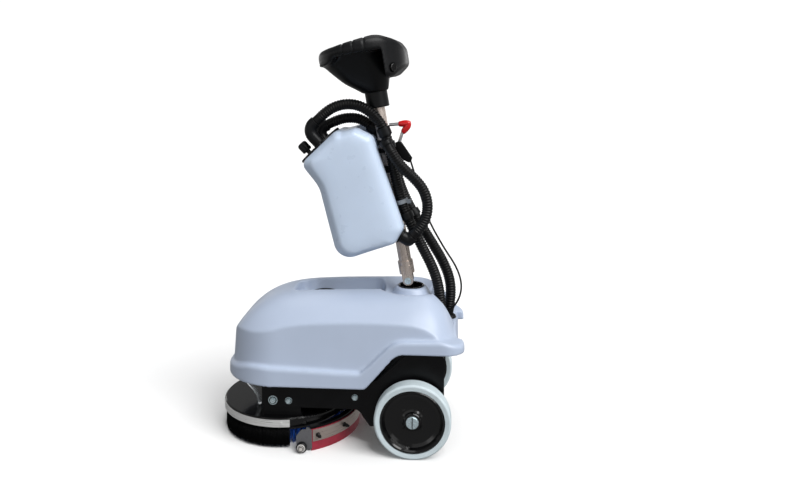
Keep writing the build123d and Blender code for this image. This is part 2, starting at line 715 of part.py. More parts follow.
def lid_elbows():
    """Smooth elbows that turn the two hoses from the lid back towards the pole."""
    elbows = []
    for x, y, riser, radius, turn in ((7, -LID_PORT_Y, 25, 24, 90), (14, LID_PORT_Y, 8, 20, 108)):
        with BuildLine(Plane.XZ) as centre_line:
            rise = Line((0, 0), (0, riser))
            bend = JernArc(start=rise @ 1, tangent=rise % 1, radius=radius, arc_size=-turn)
            Line(bend @ 1, bend @ 1 + (bend % 1) * ELBOW_END)
        with BuildSketch(Plane.XY) as ring:
            Circle(ELBOW_R)
            Circle(HOSE_BORE_R, mode=Mode.SUBTRACT)
        elbow = sweep(ring.sketch, path=centre_line.line)
        elbows.append(on_lid(Pos(x, y, LID_RIM) * elbow))
    return group(elbows)


# Hoses and cable: routes in the pole frame, each as straight runs with the largest arcs they allow
VACUUM_ROUTE = [
    (-168.4, -27, 461.4), (-143.5, -27, 478.2), (-116, -29, 491), (-85, -32, 495), (-55, -35, 489),
    (-30, -38, 474), (-10, -40, 452), (5, -40.5, 424), (12, -39.5, 390), (15, -38, 350), (16, -37, 300),
    (18, -35.7, 240), (24, -34.5, 196), (33, -33, 160), (43, -31, 125),
]
VACUUM_LOWER_ROUTE = [
    (43.14, -30.97, 124.5), (55.3, -28.5, 81.9), (70, -26.5, 36), (79, -25, -14), (77.5, -24, -68),
    (69.6, -24, -113.6),
]
SUCTION_ROUTE = [
    (-147.4, 27, 446), (-122.4, 27, 453.2), (-95, 30, 456), (-64, 32, 450), (-40, 34.5, 433), (-16, 37, 403),
    (2, 38, 366), (11, 37.5, 325), (15, 36.5, 280), (21, 36, 236), (33, 35, 192), (50, 32.5, 149),
    (68, 29, 106),
]
SUCTION_LOWER_ROUTE = [
    (68.2, 28.96, 105.5), (84.6, 25.8, 66.4), (100, 22, 26), (110, 19, -20), (106, 18, -68), (89.3, 18, -117),
]
DRAIN_ROUTE = [
    (13, -74, 374), (24, -74, 341), (44, -73, 306), (68, -71, 276), (86, -69, 244), (91, -67.5, 208),
    (82, -66, 173), (62, -65, 146), (36, DRAIN_Y, 127),
]
CABLE_ROUTE = [(59.5, 0, 317.8), (66, 0, 272), (70, 0, 228), (76, 0, 182), (84, 0, 138), (96, 0, 96)]
CABLE_LOWER_ROUTE = [
    (96.14, 0, 95.5), (107.4, 0, 56.1), (119, 0, 20), (126, 0, -16), (124, 0, -52), (111, 0, -84),
    (90, 0, -104), (64, 0, -117),
]
SQUEEGEE_HOSE_ROUTE = [
    (DECK_X + 189, 0, 84), (DECK_X + 189, 0, 112), (DECK_X + 203, 0, 134), (DECK_X + 232, 0, 142),
    (DECK_X + 286, 0, 140), (AXLE_X - 12, 0, 139), (AXLE_X + 34, 1, 150), (AXLE_X + 62, 6, 186),
    (AXLE_X + 78, 13, 232), (AXLE_X + 86, 18, 284),
]


def route(name, points):
    """Line through the points with an arc at each corner, as large as its runs allow."""
    corners = [Vector(*p) for p in points]
    radii = []
    for before, corner, after in zip(corners, corners[1:], corners[2:]):
        first = corner - before
        second = after - corner
        turn = radians(first.get_angle(second))
        radii.append(0.45 * min(first.length, second.length) / tan(turn / 2))
    line = FilletPolyline(*corners, radius=radii)
    print(f"{name}: length {line.length:.0f}, radii {[round(r) for r in radii]}")
    return line


def ring_at(line, distance, radius):
    """Circle across a route at a distance along it."""
    share = distance / line.length
    plane = Plane(origin=line.position_at(share), x_dir=(0, 1, 0), z_dir=line.tangent_at(share))
    return plane * Circle(radius)


def ribbed_hose(name, points):
    """Hose with a straight cuff at each end and raised ribs between, bored through."""
    line = route(name, points)
    cuff = 1.2 * HOSE_R
    ribs = int((line.length - 2 * cuff) / RIB_PITCH)
    rings = [ring_at(line, 0, HOSE_ROOT_R)]
    for i in range(ribs):
        start = cuff + i * RIB_PITCH
        for along, radius in ((0.1, HOSE_ROOT_R), (0.3, HOSE_R), (0.6, HOSE_R), (0.8, HOSE_ROOT_R)):
            rings.append(ring_at(line, start + along * RIB_PITCH, radius))
    rings.append(ring_at(line, line.length, HOSE_ROOT_R))
    steps = 2 * ribs
    bore = [ring_at(line, line.length * i / steps, HOSE_BORE_R) for i in range(steps + 1)]
    hose = loft(rings, ruled=True) - loft(bore, ruled=True)
    plain = pi * (HOSE_ROOT_R**2 - HOSE_BORE_R**2) * line.length
    print(f"{name}: {ribs} ribs, volume {hose.volume:.0f}, plain section times length {plain:.0f}")
    return hose


def plain_tube(name, points, radius):
    """Smooth cable or tube along a route."""
    line = route(name, points)
    plane = Plane(origin=line.position_at(0), z_dir=line.tangent_at(0))
    tube = sweep(plane * Circle(radius), path=line)
    print(f"{name}: volume {tube.volume:.0f}, section times length {pi * radius**2 * line.length:.0f}")
    return tube


def collar_on(points, index, inner, outer, height):
    """Short sleeve, or a rod if inner is nought, round the middle of one run of a route."""
    along = Vector(*points[index + 1]) - Vector(*points[index])
    sleeve = rod_z(outer, height, -height / 2)
    if inner:
        sleeve -= rod_z(inner, height, -height / 2)
    return Plane(origin=run_middle(points, index), z_dir=along).location * sleeve


def run_middle(points, index):
    """Middle of one run of a route."""
    return (Vector(*points[index]) + Vector(*points[index + 1])) / 2


def hose_clips():
    """Two clips on the pole, and smooth cuffs where the two hoses reach it."""
    near = collar_on(VACUUM_ROUTE, 7, CUFF_GAP, CUFF_GAP + 2.2, 22)
    far = collar_on(SUCTION_ROUTE, 4, CUFF_GAP, CUFF_GAP + 2.2, 22)
    return group([near, far, hose_saddle(8, 5), hose_saddle(12, 10)])


def hose_saddle(near, far):
    """Clip round the pole with a loop for each hose, on one run of each route."""
    height = 13.0
    low = (run_middle(VACUUM_ROUTE, near).Z + run_middle(SUCTION_ROUTE, far).Z) / 2 - height / 2
    clip = tube_z(POLE_R + 3, POLE_R, height, low)
    bores = []
    for points, index in ((VACUUM_ROUTE, near), (SUCTION_ROUTE, far)):
        middle = run_middle(points, index)
        reach = Vector(middle.X, middle.Y, 0)
        bridge = slab(POLE_R + 1, reach.length - HOSE_R, -5, 5, low, low + height)
        clip += Rot(0, 0, degrees(atan2(middle.Y, middle.X))) * bridge
        clip += collar_on(points, index, 0, CUFF_GAP + 2.4, height + 4)
        bores.append(collar_on(points, index, 0, CUFF_GAP, 3 * height))
    return clip - bores[0] - bores[1]


def hose_tie():
    """Grey tie with a tail, round the near hose."""
    ring = collar_on(VACUUM_ROUTE, 11, CUFF_GAP, CUFF_GAP + 2, 11)
    tail = slab(CUFF_GAP + 1, CUFF_GAP + 11, -4, 4, -5, 5)
    return ring + Pos(*run_middle(VACUUM_ROUTE, 11)) * Rot(0, 6, -20) * tail


def drain_elbow():
    """Moulded elbow from the tank's foot to the drain hose."""
    end = Vector(*DRAIN_ROUTE[-1])
    away = (Vector(*DRAIN_ROUTE[-2]) - end).normalized()
    middle = end - away * 14
    stub = on_drain_face(turned([(0, 0), (20, 0), (20, 3), (16.5, 5), (16.5, 25), (0, 25)]))
    socket = Plane(origin=middle, z_dir=away).location
    elbow = stub + Pos(*middle) * Sphere(16.5) + socket * rod_z(16.5, 14)
    passage = on_drain_face(rod_z(HOSE_BORE_R, 25)) + Pos(*middle) * Sphere(HOSE_BORE_R)
    return elbow - passage - socket * rod_z(HOSE_BORE_R, 14)


def drain_plug():
    """Stopper in the upper end of the drain hose."""
    start = Vector(*DRAIN_ROUTE[0])
    plane = Plane(origin=start, z_dir=start - Vector(*DRAIN_ROUTE[1]))
    stem = HOSE_BORE_R - MOVING_GAP
    low = MOVING_GAP
    plug = turned([
        (0, -10), (stem - 2, -10), (stem, -6), (stem, low), (HOSE_R, low), (HOSE_R + 1.5, 3),
        (HOSE_R + 1.5, 12), (9, 15), (0, 15),
    ])
    return plane.location * plug


def tank_bracket():
    """Two clamps that hold the tank on the pole."""
    clamps = []
    for s in (205, 296):
        ring = tube_z(POLE_R + 3, POLE_R, 18, s)
        pad = slab(CHANNEL_P, -18, -CHANNEL_HALF_WIDTH, CHANNEL_HALF_WIDTH, s, s + 18)
        clamps.append(ring + pad - rod_z(POLE_R, 40, s - 10))
    return group(clamps)


# Squeegee lift lever
LEVER_PIVOT = (37.0, 362.0)
LEVER_ANCHOR = (57.0, 322.0)
LEVER_PIN_R = 4.0
LEVER_ROUTE = [(38, 0, 368), (50, 0, 392), (72, 0, 415), (20.5, 0, 420)]


def lever_bracket():
    """Black cheeks on a block clamped to the back of the pole, with the lever pin and the cable anchor."""
    corners = [(22, 368), (42, 374), (66, 322), (58, 310), (22, 336)]
    cheek = side_profile(corners, [3, 8, 5, 6, 4], 5.2, 8.2)
    block = slab(POLE_R - 3, 27, -8.2, 8.2, 336, 368) + tube_z(POLE_R + 3, POLE_R, 12, 350)
    bracket = block + cheek + mirrored(cheek) - rod_z(POLE_R, 100, 300)
    for place in (LEVER_PIVOT, LEVER_ANCHOR):
        bracket += across(rod_z(LEVER_PIN_R, 20) + rod_z(7, 2.5) + rod_z(7, 2.5, 17.5), *place, -10)
    return bracket


def lever_line():
    """Bent centre line of the lever rod."""
    return FilletPolyline(*LEVER_ROUTE, radius=[30, 8])


def lever_rod():
    """Chrome rod with an eye on the lever pin."""
    line = lever_line()
    rod = sweep(Plane(origin=line @ 0, z_dir=line % 0) * Circle(4.5), path=line)
    eye = across(rod_z(9, 9), *LEVER_PIVOT, -4.5)
    hole = across(rod_z(LEVER_PIN_R + RUNNING_GAP, 20), *LEVER_PIVOT, -10)
    return rod + eye - hole


def lever_grip():
    """Red dipped grip over the bend of the rod."""
    line = FilletPolyline((53, 0, 394.5), (72, 0, 415), (45, 0, 417.6), radius=8)
    start = Plane(origin=line @ 0, z_dir=line % 0)
    grip = sweep(start * Circle(7.5), path=line)
    return grip - lever_rod()


# Handle head
HEAD_FRONT = -124.0
HEAD_REAR = 97.0
HEAD_MIDDLE = (HEAD_FRONT + HEAD_REAR) / 2
HEAD_ROUND = (HEAD_REAR - HEAD_FRONT) / 2
HEAD_HALF_WIDTH = 172.0
HEAD_EDGE_R = 18.0
HEAD_WALL = 4.0
HEAD_TOP_FRONT = (-140.0, 634.0)
HEAD_TOP_REAR = (38.0, 655.0)
TOP_SLOPE = (HEAD_TOP_REAR[1] - HEAD_TOP_FRONT[1]) / (HEAD_TOP_REAR[0] - HEAD_TOP_FRONT[0])
SPLIT_S = 616.0
FRONT_SPLIT_S = 598.0
CONSOLE_P = 46.0
RIM_WIDTH = 28.0
RIM_EDGE_R = 6.0
HOLE_INNER_Y = 108.0
HOLE_EDGE_R = 8.0
GROOVES = (-47.0, -20.0, 8.0)
GROOVE_WIDTH = 3.0
GROOVE_DEPTH = 1.4
GRIP_Y = 150.0
SLEEVE_R = 30.0
SLEEVE_TOP = 512.0
PANEL = (84.0, 122.0, 2.0)
PANEL_P = -30.0
PANEL_SEAT = 1.4
BUTTON_R = 10.0
BUTTON_S = 566.0
BUTTON_TURN = 43.0


def handle_sleeve():
    """Neck sleeve that clamps the head to the pole."""
    sleeve = tube_z(SLEEVE_R, POLE_R, 42, SLEEVE_TOP - 42)
    return fillet(sleeve.edges().group_by(Axis.Z)[0].sort_by(SortBy.LENGTH)[-1:], 3)


def upper_zone():
    """Everything above the stepped seam of the head, and the console behind the neck."""
    corners = [
        (-300, FRONT_SPLIT_S), (-84, FRONT_SPLIT_S), (-70, SPLIT_S), (CONSOLE_P, SPLIT_S), (CONSOLE_P, 500),
        (300, 500), (300, 720), (-300, 720),
    ]
    return side_profile(corners, [0] * len(corners), -300, 300)


def head_plan(inset):
    """Long outline of the head seen from above, with round ends, drawn through its height."""
    with BuildSketch(Plane.XY.offset(480)) as plan:
        with Locations((HEAD_MIDDLE, 0)):
            SlotOverall(2 * (HEAD_HALF_WIDTH - inset), 2 * (HEAD_ROUND - inset), rotation=90)
    return extrude(plan.sketch, amount=240)


def wall_depth(point):
    """How far a point of the head lies inside its upright wall."""
    beside = max(abs(point.Y) - HEAD_HALF_WIDTH + HEAD_ROUND, 0)
    return HEAD_ROUND - hypot(point.X - HEAD_MIDDLE, beside)


def level_edges(shape, chosen):
    """Edges that don't stand upright and whose middle is chosen."""
    return [edge for edge in shape.edges() if abs((edge % 0.5).Z) < 0.99 and chosen(edge @ 0.5)]


def head_block():
    """Rim and console of the head as one soft-edged form."""
    corners = [
        (HEAD_TOP_FRONT[0], FRONT_SPLIT_S), HEAD_TOP_FRONT, HEAD_TOP_REAR, (82, 634), (104, 598), (96, 566),
        (64, 545), (CONSOLE_P, 541), (HEAD_TOP_FRONT[0], 541),
    ]
    block = side_profile(corners, [0, 0, 60, 40, 22, 14, 0, 0, 0], -200, 200) & head_plan(0.0)
    return fillet(level_edges(block, lambda point: wall_depth(point) < 0.05), HEAD_EDGE_R)


def hand_holes():
    """The two openings behind the grips."""
    holes = head_plan(RIM_WIDTH) - slab(-200, 200, -HOLE_INNER_Y, HOLE_INNER_Y, 480, 720)
    return fillet(holes.edges().filter_by(Axis.Z), 12)


def head_top(p):
    """Height of the head's sloping top at one place along it."""
    return HEAD_TOP_FRONT[1] + TOP_SLOPE * (p - HEAD_TOP_FRONT[0])


def grip_groove(p):
    """Shallow cut round both grips at one place along the rim."""
    wall = HEAD_HALF_WIDTH - HEAD_ROUND + sqrt(HEAD_ROUND ** 2 - (p - HEAD_MIDDLE) ** 2) - GROOVE_DEPTH
    kept = slab(-200, 200, -wall, wall, SPLIT_S + GROOVE_DEPTH, head_top(p) - GROOVE_DEPTH)
    kept = fillet(kept.edges().filter_by(Axis.X).group_by(Axis.Z)[-1], HEAD_EDGE_R - GROOVE_DEPTH)
    kept = fillet(kept.edges().filter_by(Axis.X).group_by(Axis.Z)[0], RIM_EDGE_R - GROOVE_DEPTH)
    band = slab(p - GROOVE_WIDTH / 2, p + GROOVE_WIDTH / 2, -200, 200, 500, 720)
    return band - kept - slab(-200, 200, -GRIP_Y, GRIP_Y, 480, 740)


def button_place():
    """Location on the right rear corner of the head, with local Z pointing out."""
    out = Vector(cos(radians(BUTTON_TURN)), sin(radians(BUTTON_TURN)), 0)
    corner = Vector(HEAD_MIDDLE, HEAD_HALF_WIDTH - HEAD_ROUND, BUTTON_S)
    return Plane(origin=corner + out * HEAD_ROUND, z_dir=out).location


def panel_place():
    """Location on the sloping top of the head."""
    return Pos(PANEL_P, 0, head_top(PANEL_P)) * Rot(0, -degrees(atan2(TOP_SLOPE, 1)), 0)


def control_panel():
    """Flat panel let into the top of the head."""
    length, width, thick = PANEL
    with BuildSketch() as outline:
        RectangleRounded(length, width, 12)
    return panel_place() * Pos(0, 0, -PANEL_SEAT) * extrude(outline.sketch, amount=thick)


def handle_upper():
    """Soft rim with two hand holes, grip grooves, console, panel seat and button pockets."""
    rim = head_block() & upper_zone()
    under = level_edges(rim, lambda p: wall_depth(p) < 0.05 and p.X < CONSOLE_P and p.Z < SPLIT_S + 1)
    rim = fillet(under, RIM_EDGE_R) - hand_holes()
    holes = level_edges(rim, lambda p: wall_depth(p) > RIM_WIDTH - 0.05 and abs(p.Y) > HOLE_INNER_Y - 0.05)
    rim = fillet(holes, HOLE_EDGE_R)
    grooves = [grip_groove(p) for p in GROOVES]
    pocket = button_place() * rod_z(BUTTON_R + MOVING_GAP, 30, -9)
    return rim - grooves - pocket - mirrored(pocket) - control_panel()


def funnel(inset):
    """Neck of the head lofted from the round sleeve to the underside of the rim."""
    sections = []
    for s, front, rear, half, radius in (
        (SLEEVE_TOP, -34, 34, 34, 33.5), (560, -78, 44, 68, 46), (SPLIT_S, -121, CONSOLE_P, 106, 62),
    ):
        with BuildSketch(Plane.XY.offset(s)) as outline:
            with Locations(((front + rear) / 2, 0)):
                RectangleRounded(rear - front - 2 * inset, 2 * (half - inset), radius - inset)
        sections.append(outline.sketch)
    return loft(sections)


def handle_lower():
    """Hollow neck funnel with a socket for the pole."""
    shell = funnel(0.0) - funnel(HEAD_WALL) + (funnel(0.0) & slab(-60, 60, -60, 60, 500, SLEEVE_TOP + 6))
    shell += rod_z(POLE_R + 5, POLE_END - SLEEVE_TOP + 4, SLEEVE_TOP)
    return shell - upper_zone() - rod_z(POLE_R, POLE_END - SLEEVE_TOP, SLEEVE_TOP)


def button():
    """Domed push button of the right-hand side."""
    cap = rod_z(BUTTON_R, 8.5, -5)
    return button_place() * fillet(cap.edges().group_by(Axis.Z)[-1], 2)


# Remaining small pieces
WATER_TUBE_R = 5.0
WATER_ROUTE = [
    (AXLE_X - 454, -90, BASE_Z + PLATE), (AXLE_X - 454, -90, 149), (AXLE_X - 414, -88, 112),
    (AXLE_X - 414, -88, DECK_TOP_Z),
]


def axle():
    """Steel axle through the frame and both wheels."""
    return across(rod_z(AXLE_R, 2 * AXLE_END_Y), AXLE_X, WHEEL_R, -AXLE_END_Y)


# Pieces that stay with the chassis
saved("chassis_frame", chassis_frame())
saved("deck_bracket", deck_bracket())
saved("frame_bolts", frame_bolts())
saved("axle", axle())
saved("solution_tank", solution_tank())
saved("filler_cap", filler_cap())
saved("pivot_bracket", pivot_bracket())
saved("pivot_cup", pivot_cup())
saved("pivot_pin", pivot_pin())
saved("hose_grommets", hose_grommets())
saved("body_cover", body_cover())
saved("brush_deck", brush_deck())
saved("gear_motor", gear_motor())
saved("skirt_band", skirt_band())
saved("skirt_brush", skirt_brush())
saved("water_tube", plain_tube("water_tube", WATER_ROUTE, WATER_TUBE_R))
saved("squeegee_pin", squeegee_pin())
saved("squeegee_hose", ribbed_hose("squeegee_hose", SQUEEGEE_HOSE_ROUTE))

# Brush and wheels
saved("brush_block", brush_block())
saved("brush_bristles", brush_bristles())
for piece_name, piece in (("tyre", wheel_right(tyre())), ("hub", wheel_right(hub())), ("roller", roller())):
    saved(f"{piece_name}_right", piece)
    saved(f"{piece_name}_left", mirrored(piece))

# Squeegee
saved("squeegee_frame", squeegee_frame())
saved("rear_blade", squeegee_arc(194, 197, 0, 56))
saved("front_blade", squeegee_arc(181, 184, 2, 58))
saved("clamp_strip", squeegee_arc(197, 198.5, 24, 55, 60))
saved("clamp_knobs", clamp_knobs())
saved("end_plates", end_plates())
saved("suction_nozzle", suction_nozzle())

# Pieces on the tilting pole
saved("pole_tube", on_pole(pole_tube()))
saved("pole_yoke", on_pole(pole_yoke()))
saved("recovery_tank", on_pole(recovery_tank()))
saved("tank_lid", on_pole(tank_lid()))
saved("lid_insert", on_pole(lid_insert()))
saved("lid_elbows", on_pole(lid_elbows()))
saved("lid_knob", on_pole(lid_knob()))
saved("tank_bracket", on_pole(tank_bracket()))
saved("vacuum_hose", on_pole(ribbed_hose("vacuum_hose", VACUUM_ROUTE)))
saved("vacuum_hose_lower", on_pole(ribbed_hose("vacuum_hose_lower", VACUUM_LOWER_ROUTE)))
saved("suction_hose", on_pole(ribbed_hose("suction_hose", SUCTION_ROUTE)))
saved("suction_hose_lower", on_pole(ribbed_hose("suction_hose_lower", SUCTION_LOWER_ROUTE)))
saved("drain_hose", on_pole(ribbed_hose("drain_hose", DRAIN_ROUTE)))
saved("drain_elbow", on_pole(drain_elbow()))
saved("drain_plug", on_pole(drain_plug()))
saved("hose_clips", on_pole(hose_clips()))
saved("hose_tie", on_pole(hose_tie()))
saved("lift_cable", on_pole(plain_tube("lift_cable", CABLE_ROUTE, CABLE_R)))
saved("lift_cable_lower", on_pole(plain_tube("lift_cable_lower", CABLE_LOWER_ROUTE, CABLE_R)))
saved("lever_bracket", on_pole(lever_bracket()))
saved("lever_rod", on_pole(lever_rod()))
saved("lever_grip", on_pole(lever_grip()))
saved("handle_sleeve", on_pole(handle_sleeve()))
saved("handle_upper", on_pole(handle_upper()))
saved("handle_lower", on_pole(handle_lower()))
saved("control_panel", on_pole(control_panel()))
saved("button", on_pole(mirrored(button())))
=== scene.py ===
import itertools
import json
import math
import random

import bpy
import numpy as np
from mathutils import Matrix, Vector


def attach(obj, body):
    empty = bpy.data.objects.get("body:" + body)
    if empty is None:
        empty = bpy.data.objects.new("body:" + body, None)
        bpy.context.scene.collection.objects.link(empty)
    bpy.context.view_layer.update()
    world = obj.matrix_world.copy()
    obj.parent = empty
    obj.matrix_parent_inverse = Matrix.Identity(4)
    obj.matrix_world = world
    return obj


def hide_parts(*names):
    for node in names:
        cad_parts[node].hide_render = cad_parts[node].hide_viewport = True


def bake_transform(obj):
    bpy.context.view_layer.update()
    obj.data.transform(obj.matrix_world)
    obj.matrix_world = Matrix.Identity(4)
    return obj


# Looks of the walk-behind floor scrubber. Metres, front of the machine at -X, camera on the -Y side.
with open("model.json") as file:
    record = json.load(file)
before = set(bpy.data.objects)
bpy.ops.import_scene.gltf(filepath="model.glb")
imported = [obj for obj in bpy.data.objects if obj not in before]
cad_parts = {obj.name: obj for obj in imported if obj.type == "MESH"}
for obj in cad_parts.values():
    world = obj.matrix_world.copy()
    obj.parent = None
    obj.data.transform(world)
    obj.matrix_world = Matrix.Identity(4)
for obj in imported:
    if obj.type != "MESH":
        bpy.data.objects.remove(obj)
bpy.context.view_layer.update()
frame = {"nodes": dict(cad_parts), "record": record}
nodes = frame["nodes"]

# Places shared with the solids
AXLE_X = 0.201
DECK_X = AXLE_X - 0.355
PIVOT = Vector((AXLE_X - 0.022, 0.0, 0.408))
LEAN = math.radians(9.8)

# Hoses and cable
HOSE_R = 0.0145
HOSE_ROOT_R = 0.0127
HOSE_PITCH = 0.0068
HOSE_SIDES = 22
ROUTE_STEPS = 40
CABLE_R = 0.0025
TUBE_R = 0.005

# Camera and light
FLOOR_REACH = 60.0
# Sky: share of the way from straight down to straight up, and brightness
SKY_LEVELS = ((0.47, 0.26), (0.49, 1.05), (0.545, 1.05), (0.57, 0.22))
# Lights: name, azimuth from the camera side, height and spread in degrees, strength
LIGHTS = (("key", 52, 40, 45, 3.0), ("front", -30, 30, 60, 0.25), ("top", 165, 74, 60, 1.0),
          ("spark", 20, 58, 7, 0.45))
SENSOR_WIDTH = 36.0
IMAGE_WIDTH = 790
FOCAL_PX = 788.3
CAMERA_AT = (0.3012, -2.0811, 0.9832)
CAMERA_YAW = 0.076
CAMERA_PITCH = 0.1
AXIS_ROW = 144
MIDDLE_ROW = 250


def on_pole(point):
    """Place in the shared frame of a point in the pole frame: rearward, across, along the pole."""
    p, y, s = point
    x = PIVOT.x + p * math.cos(LEAN) - s * math.sin(LEAN)
    z = PIVOT.z + p * math.sin(LEAN) + s * math.cos(LEAN)
    return Vector((x, y, z))


# Material helpers
NOISE_RANGE = (0.3, 0.7)


def srgb(red, green, blue):
    """Linear colour from 0-255 screen values."""
    linear = []
    for value in (red, green, blue):
        share = value / 255
        linear.append(share / 12.92 if share <= 0.04045 else ((share + 0.055) / 1.055) ** 2.4)
    return tuple(linear)


def blank_material(name, colour, roughness, metallic=0.0):
    """Material with its main shader values set."""
    material = bpy.data.materials.new(name)
    material.use_nodes = True
    shader = material.node_tree.nodes["Principled BSDF"]
    shader.inputs["Base Color"].default_value = (*colour, 1)
    shader.inputs["Roughness"].default_value = roughness
    shader.inputs["Metallic"].default_value = metallic
    return material, shader


def add_node(material, kind, **values):
    """New shader node with some inputs set."""
    node = material.node_tree.nodes.new(kind)
    for key, value in values.items():
        node.inputs[key.replace("_", " ")].default_value = value
    return node


def join(material, source, target):
    """Link an output socket to an input socket."""
    material.node_tree.links.new(source, target)


def noise(material, scale, detail=2.0, stretch=None):
    """Noise in the piece's own coordinates, stretched along an axis if asked."""
    place = add_node(material, "ShaderNodeTexCoord").outputs["Object"]
    if stretch:
        mapping = add_node(material, "ShaderNodeMapping", Scale=stretch)
        join(material, place, mapping.inputs["Vector"])
        place = mapping.outputs["Vector"]
    texture = add_node(material, "ShaderNodeTexNoise", Scale=scale, Detail=detail)
    join(material, place, texture.inputs["Vector"])
    return texture.outputs["Fac"]


def spread(material, value, low, high, start=NOISE_RANGE[0], end=NOISE_RANGE[1]):
    """Map a noise value to a range."""
    mapped = add_node(material, "ShaderNodeMapRange")
    for index, number in ((1, start), (2, end), (3, low), (4, high)):
        mapped.inputs[index].default_value = number
    join(material, value, mapped.inputs[0])
    return mapped.outputs[0]


def tint(material, shader, value, first, second):
    """Base colour that runs between two colours with a value."""
    ramp = add_node(material, "ShaderNodeValToRGB")
    for stop, position, colour in zip(ramp.color_ramp.elements, NOISE_RANGE, (first, second)):
        stop.position = position
        stop.color = (*colour, 1)
    join(material, value, ramp.inputs["Fac"])
    join(material, ramp.outputs["Color"], shader.inputs["Base Color"])


def gloss(material, shader, value, low, high):
    """Roughness that runs between two amounts with a value."""
    join(material, spread(material, value, low, high), shader.inputs["Roughness"])


def bump(material, shader, height, distance, strength, edge=0.0):
    """Fine relief from a height value, with edges softened over a small radius if asked."""
    relief = add_node(material, "ShaderNodeBump", Distance=distance, Strength=strength)
    if edge:
        soft = add_node(material, "ShaderNodeBevel", Radius=edge)
        join(material, soft.outputs["Normal"], relief.inputs["Normal"])
    join(material, height, relief.inputs["Height"])
    join(material, relief.outputs["Normal"], shader.inputs["Normal"])


def scaled(colour, share):
    """Darker or lighter version of a colour."""
    return tuple(value * share for value in colour)


# Materials
DARK_SHINE = 0.22
COAT_ROUGHNESS = 0.06


def moulded(name, colour, roughness, grain=1400.0, depth=0.00012, drift=0.06, coat=0.0, shine=0.5,
            edge=0.0):
    """Moulded plastic: slow colour drift, uneven gloss and a fine grain."""
    material, shader = blank_material(name, colour, roughness)
    drifting = noise(material, scale=9.0, detail=3.0)
    tint(material, shader, drifting, scaled(colour, 1 - drift), scaled(colour, 1 + drift))
    handled = noise(material, scale=38.0, detail=4.0)
    gloss(material, shader, handled, roughness * 0.88, roughness * 1.14)
    bump(material, shader, noise(material, grain), depth, strength=0.35, edge=edge)
    shader.inputs["Coat Weight"].default_value = coat
    shader.inputs["Coat Roughness"].default_value = COAT_ROUGHNESS
    shader.inputs["Specular IOR Level"].default_value = shine
    return material


def tank_plastic(name, colour):
    """Blow-moulded tank wall that lets a little light in."""
    material = moulded(name, colour, roughness=0.3, grain=900.0, drift=0.03)
    shader = material.node_tree.nodes["Principled BSDF"]
    shader.inputs["Subsurface Weight"].default_value = 0.12
    shader.inputs["Subsurface Radius"].default_value = (0.006, 0.007, 0.008)
    shader.inputs["Subsurface Scale"].default_value = 1.0
    return material


def brushed(name, colour, roughness, stretch, lines=900.0, metallic=0.8):
    """Metal with fine lines along one direction."""
    material, shader = blank_material(name, colour, roughness, metallic)
    lay = noise(material, lines, detail=3.0, stretch=stretch)
    tint(material, shader, lay, scaled(colour, 0.86), scaled(colour, 1.1))
    gloss(material, shader, lay, roughness * 0.75, roughness * 1.3)
    bump(material, shader, lay, distance=0.00008, strength=0.3)
    return material


def plated(name, colour, roughness):
    """Plated steel with a soft crystal mottle."""
    material, shader = blank_material(name, colour, roughness, metallic=0.75)
    crystals = add_node(material, "ShaderNodeTexVoronoi", Scale=420.0)
    place = add_node(material, "ShaderNodeTexCoord")
    join(material, place.outputs["Object"], crystals.inputs["Vector"])
    mottle = crystals.outputs["Distance"]
    tint(material, shader, mottle, scaled(colour, 0.82), scaled(colour, 1.08))
    gloss(material, shader, noise(material, scale=160.0), roughness * 0.7, roughness * 1.4)
    return material


def rubber(name, colour, roughness, scuff, grain=700.0, shine=0.35):
    """Rubber with a dusty, scuffed surface."""
    material, shader = blank_material(name, colour, roughness)
    worn = noise(material, scale=45.0, detail=5.0)
    tint(material, shader, worn, colour, scuff)
    gloss(material, shader, worn, roughness * 0.85, min(1.0, roughness * 1.2))
    bump(material, shader, noise(material, grain, detail=3.0), distance=0.0002, strength=0.3)
    shader.inputs["Specular IOR Level"].default_value = shine
    return material


def painted(name, colour, roughness):
    """Powder coat with an orange-peel surface and rubbed places."""
    material, shader = blank_material(name, colour, roughness)
    rubbed = noise(material, scale=22.0, detail=5.0)
    tint(material, shader, rubbed, colour, scaled(colour, 1.6))
    gloss(material, shader, rubbed, roughness * 0.8, roughness * 1.25)
    bump(material, shader, noise(material, scale=420.0, detail=1.0), distance=0.0003, strength=0.3)
    shader.inputs["Specular IOR Level"].default_value = DARK_SHINE
    return material


def fibre(name, colour, light, shine=0.4):
    """Nylon strands: each stretch a little lighter or darker."""
    material, shader = blank_material(name, colour, roughness=0.42)
    shader.inputs["Specular IOR Level"].default_value = shine
    streak = noise(material, scale=700.0, detail=1.0, stretch=(1.0, 1.0, 0.06))
    tint(material, shader, streak, colour, light)
    return material


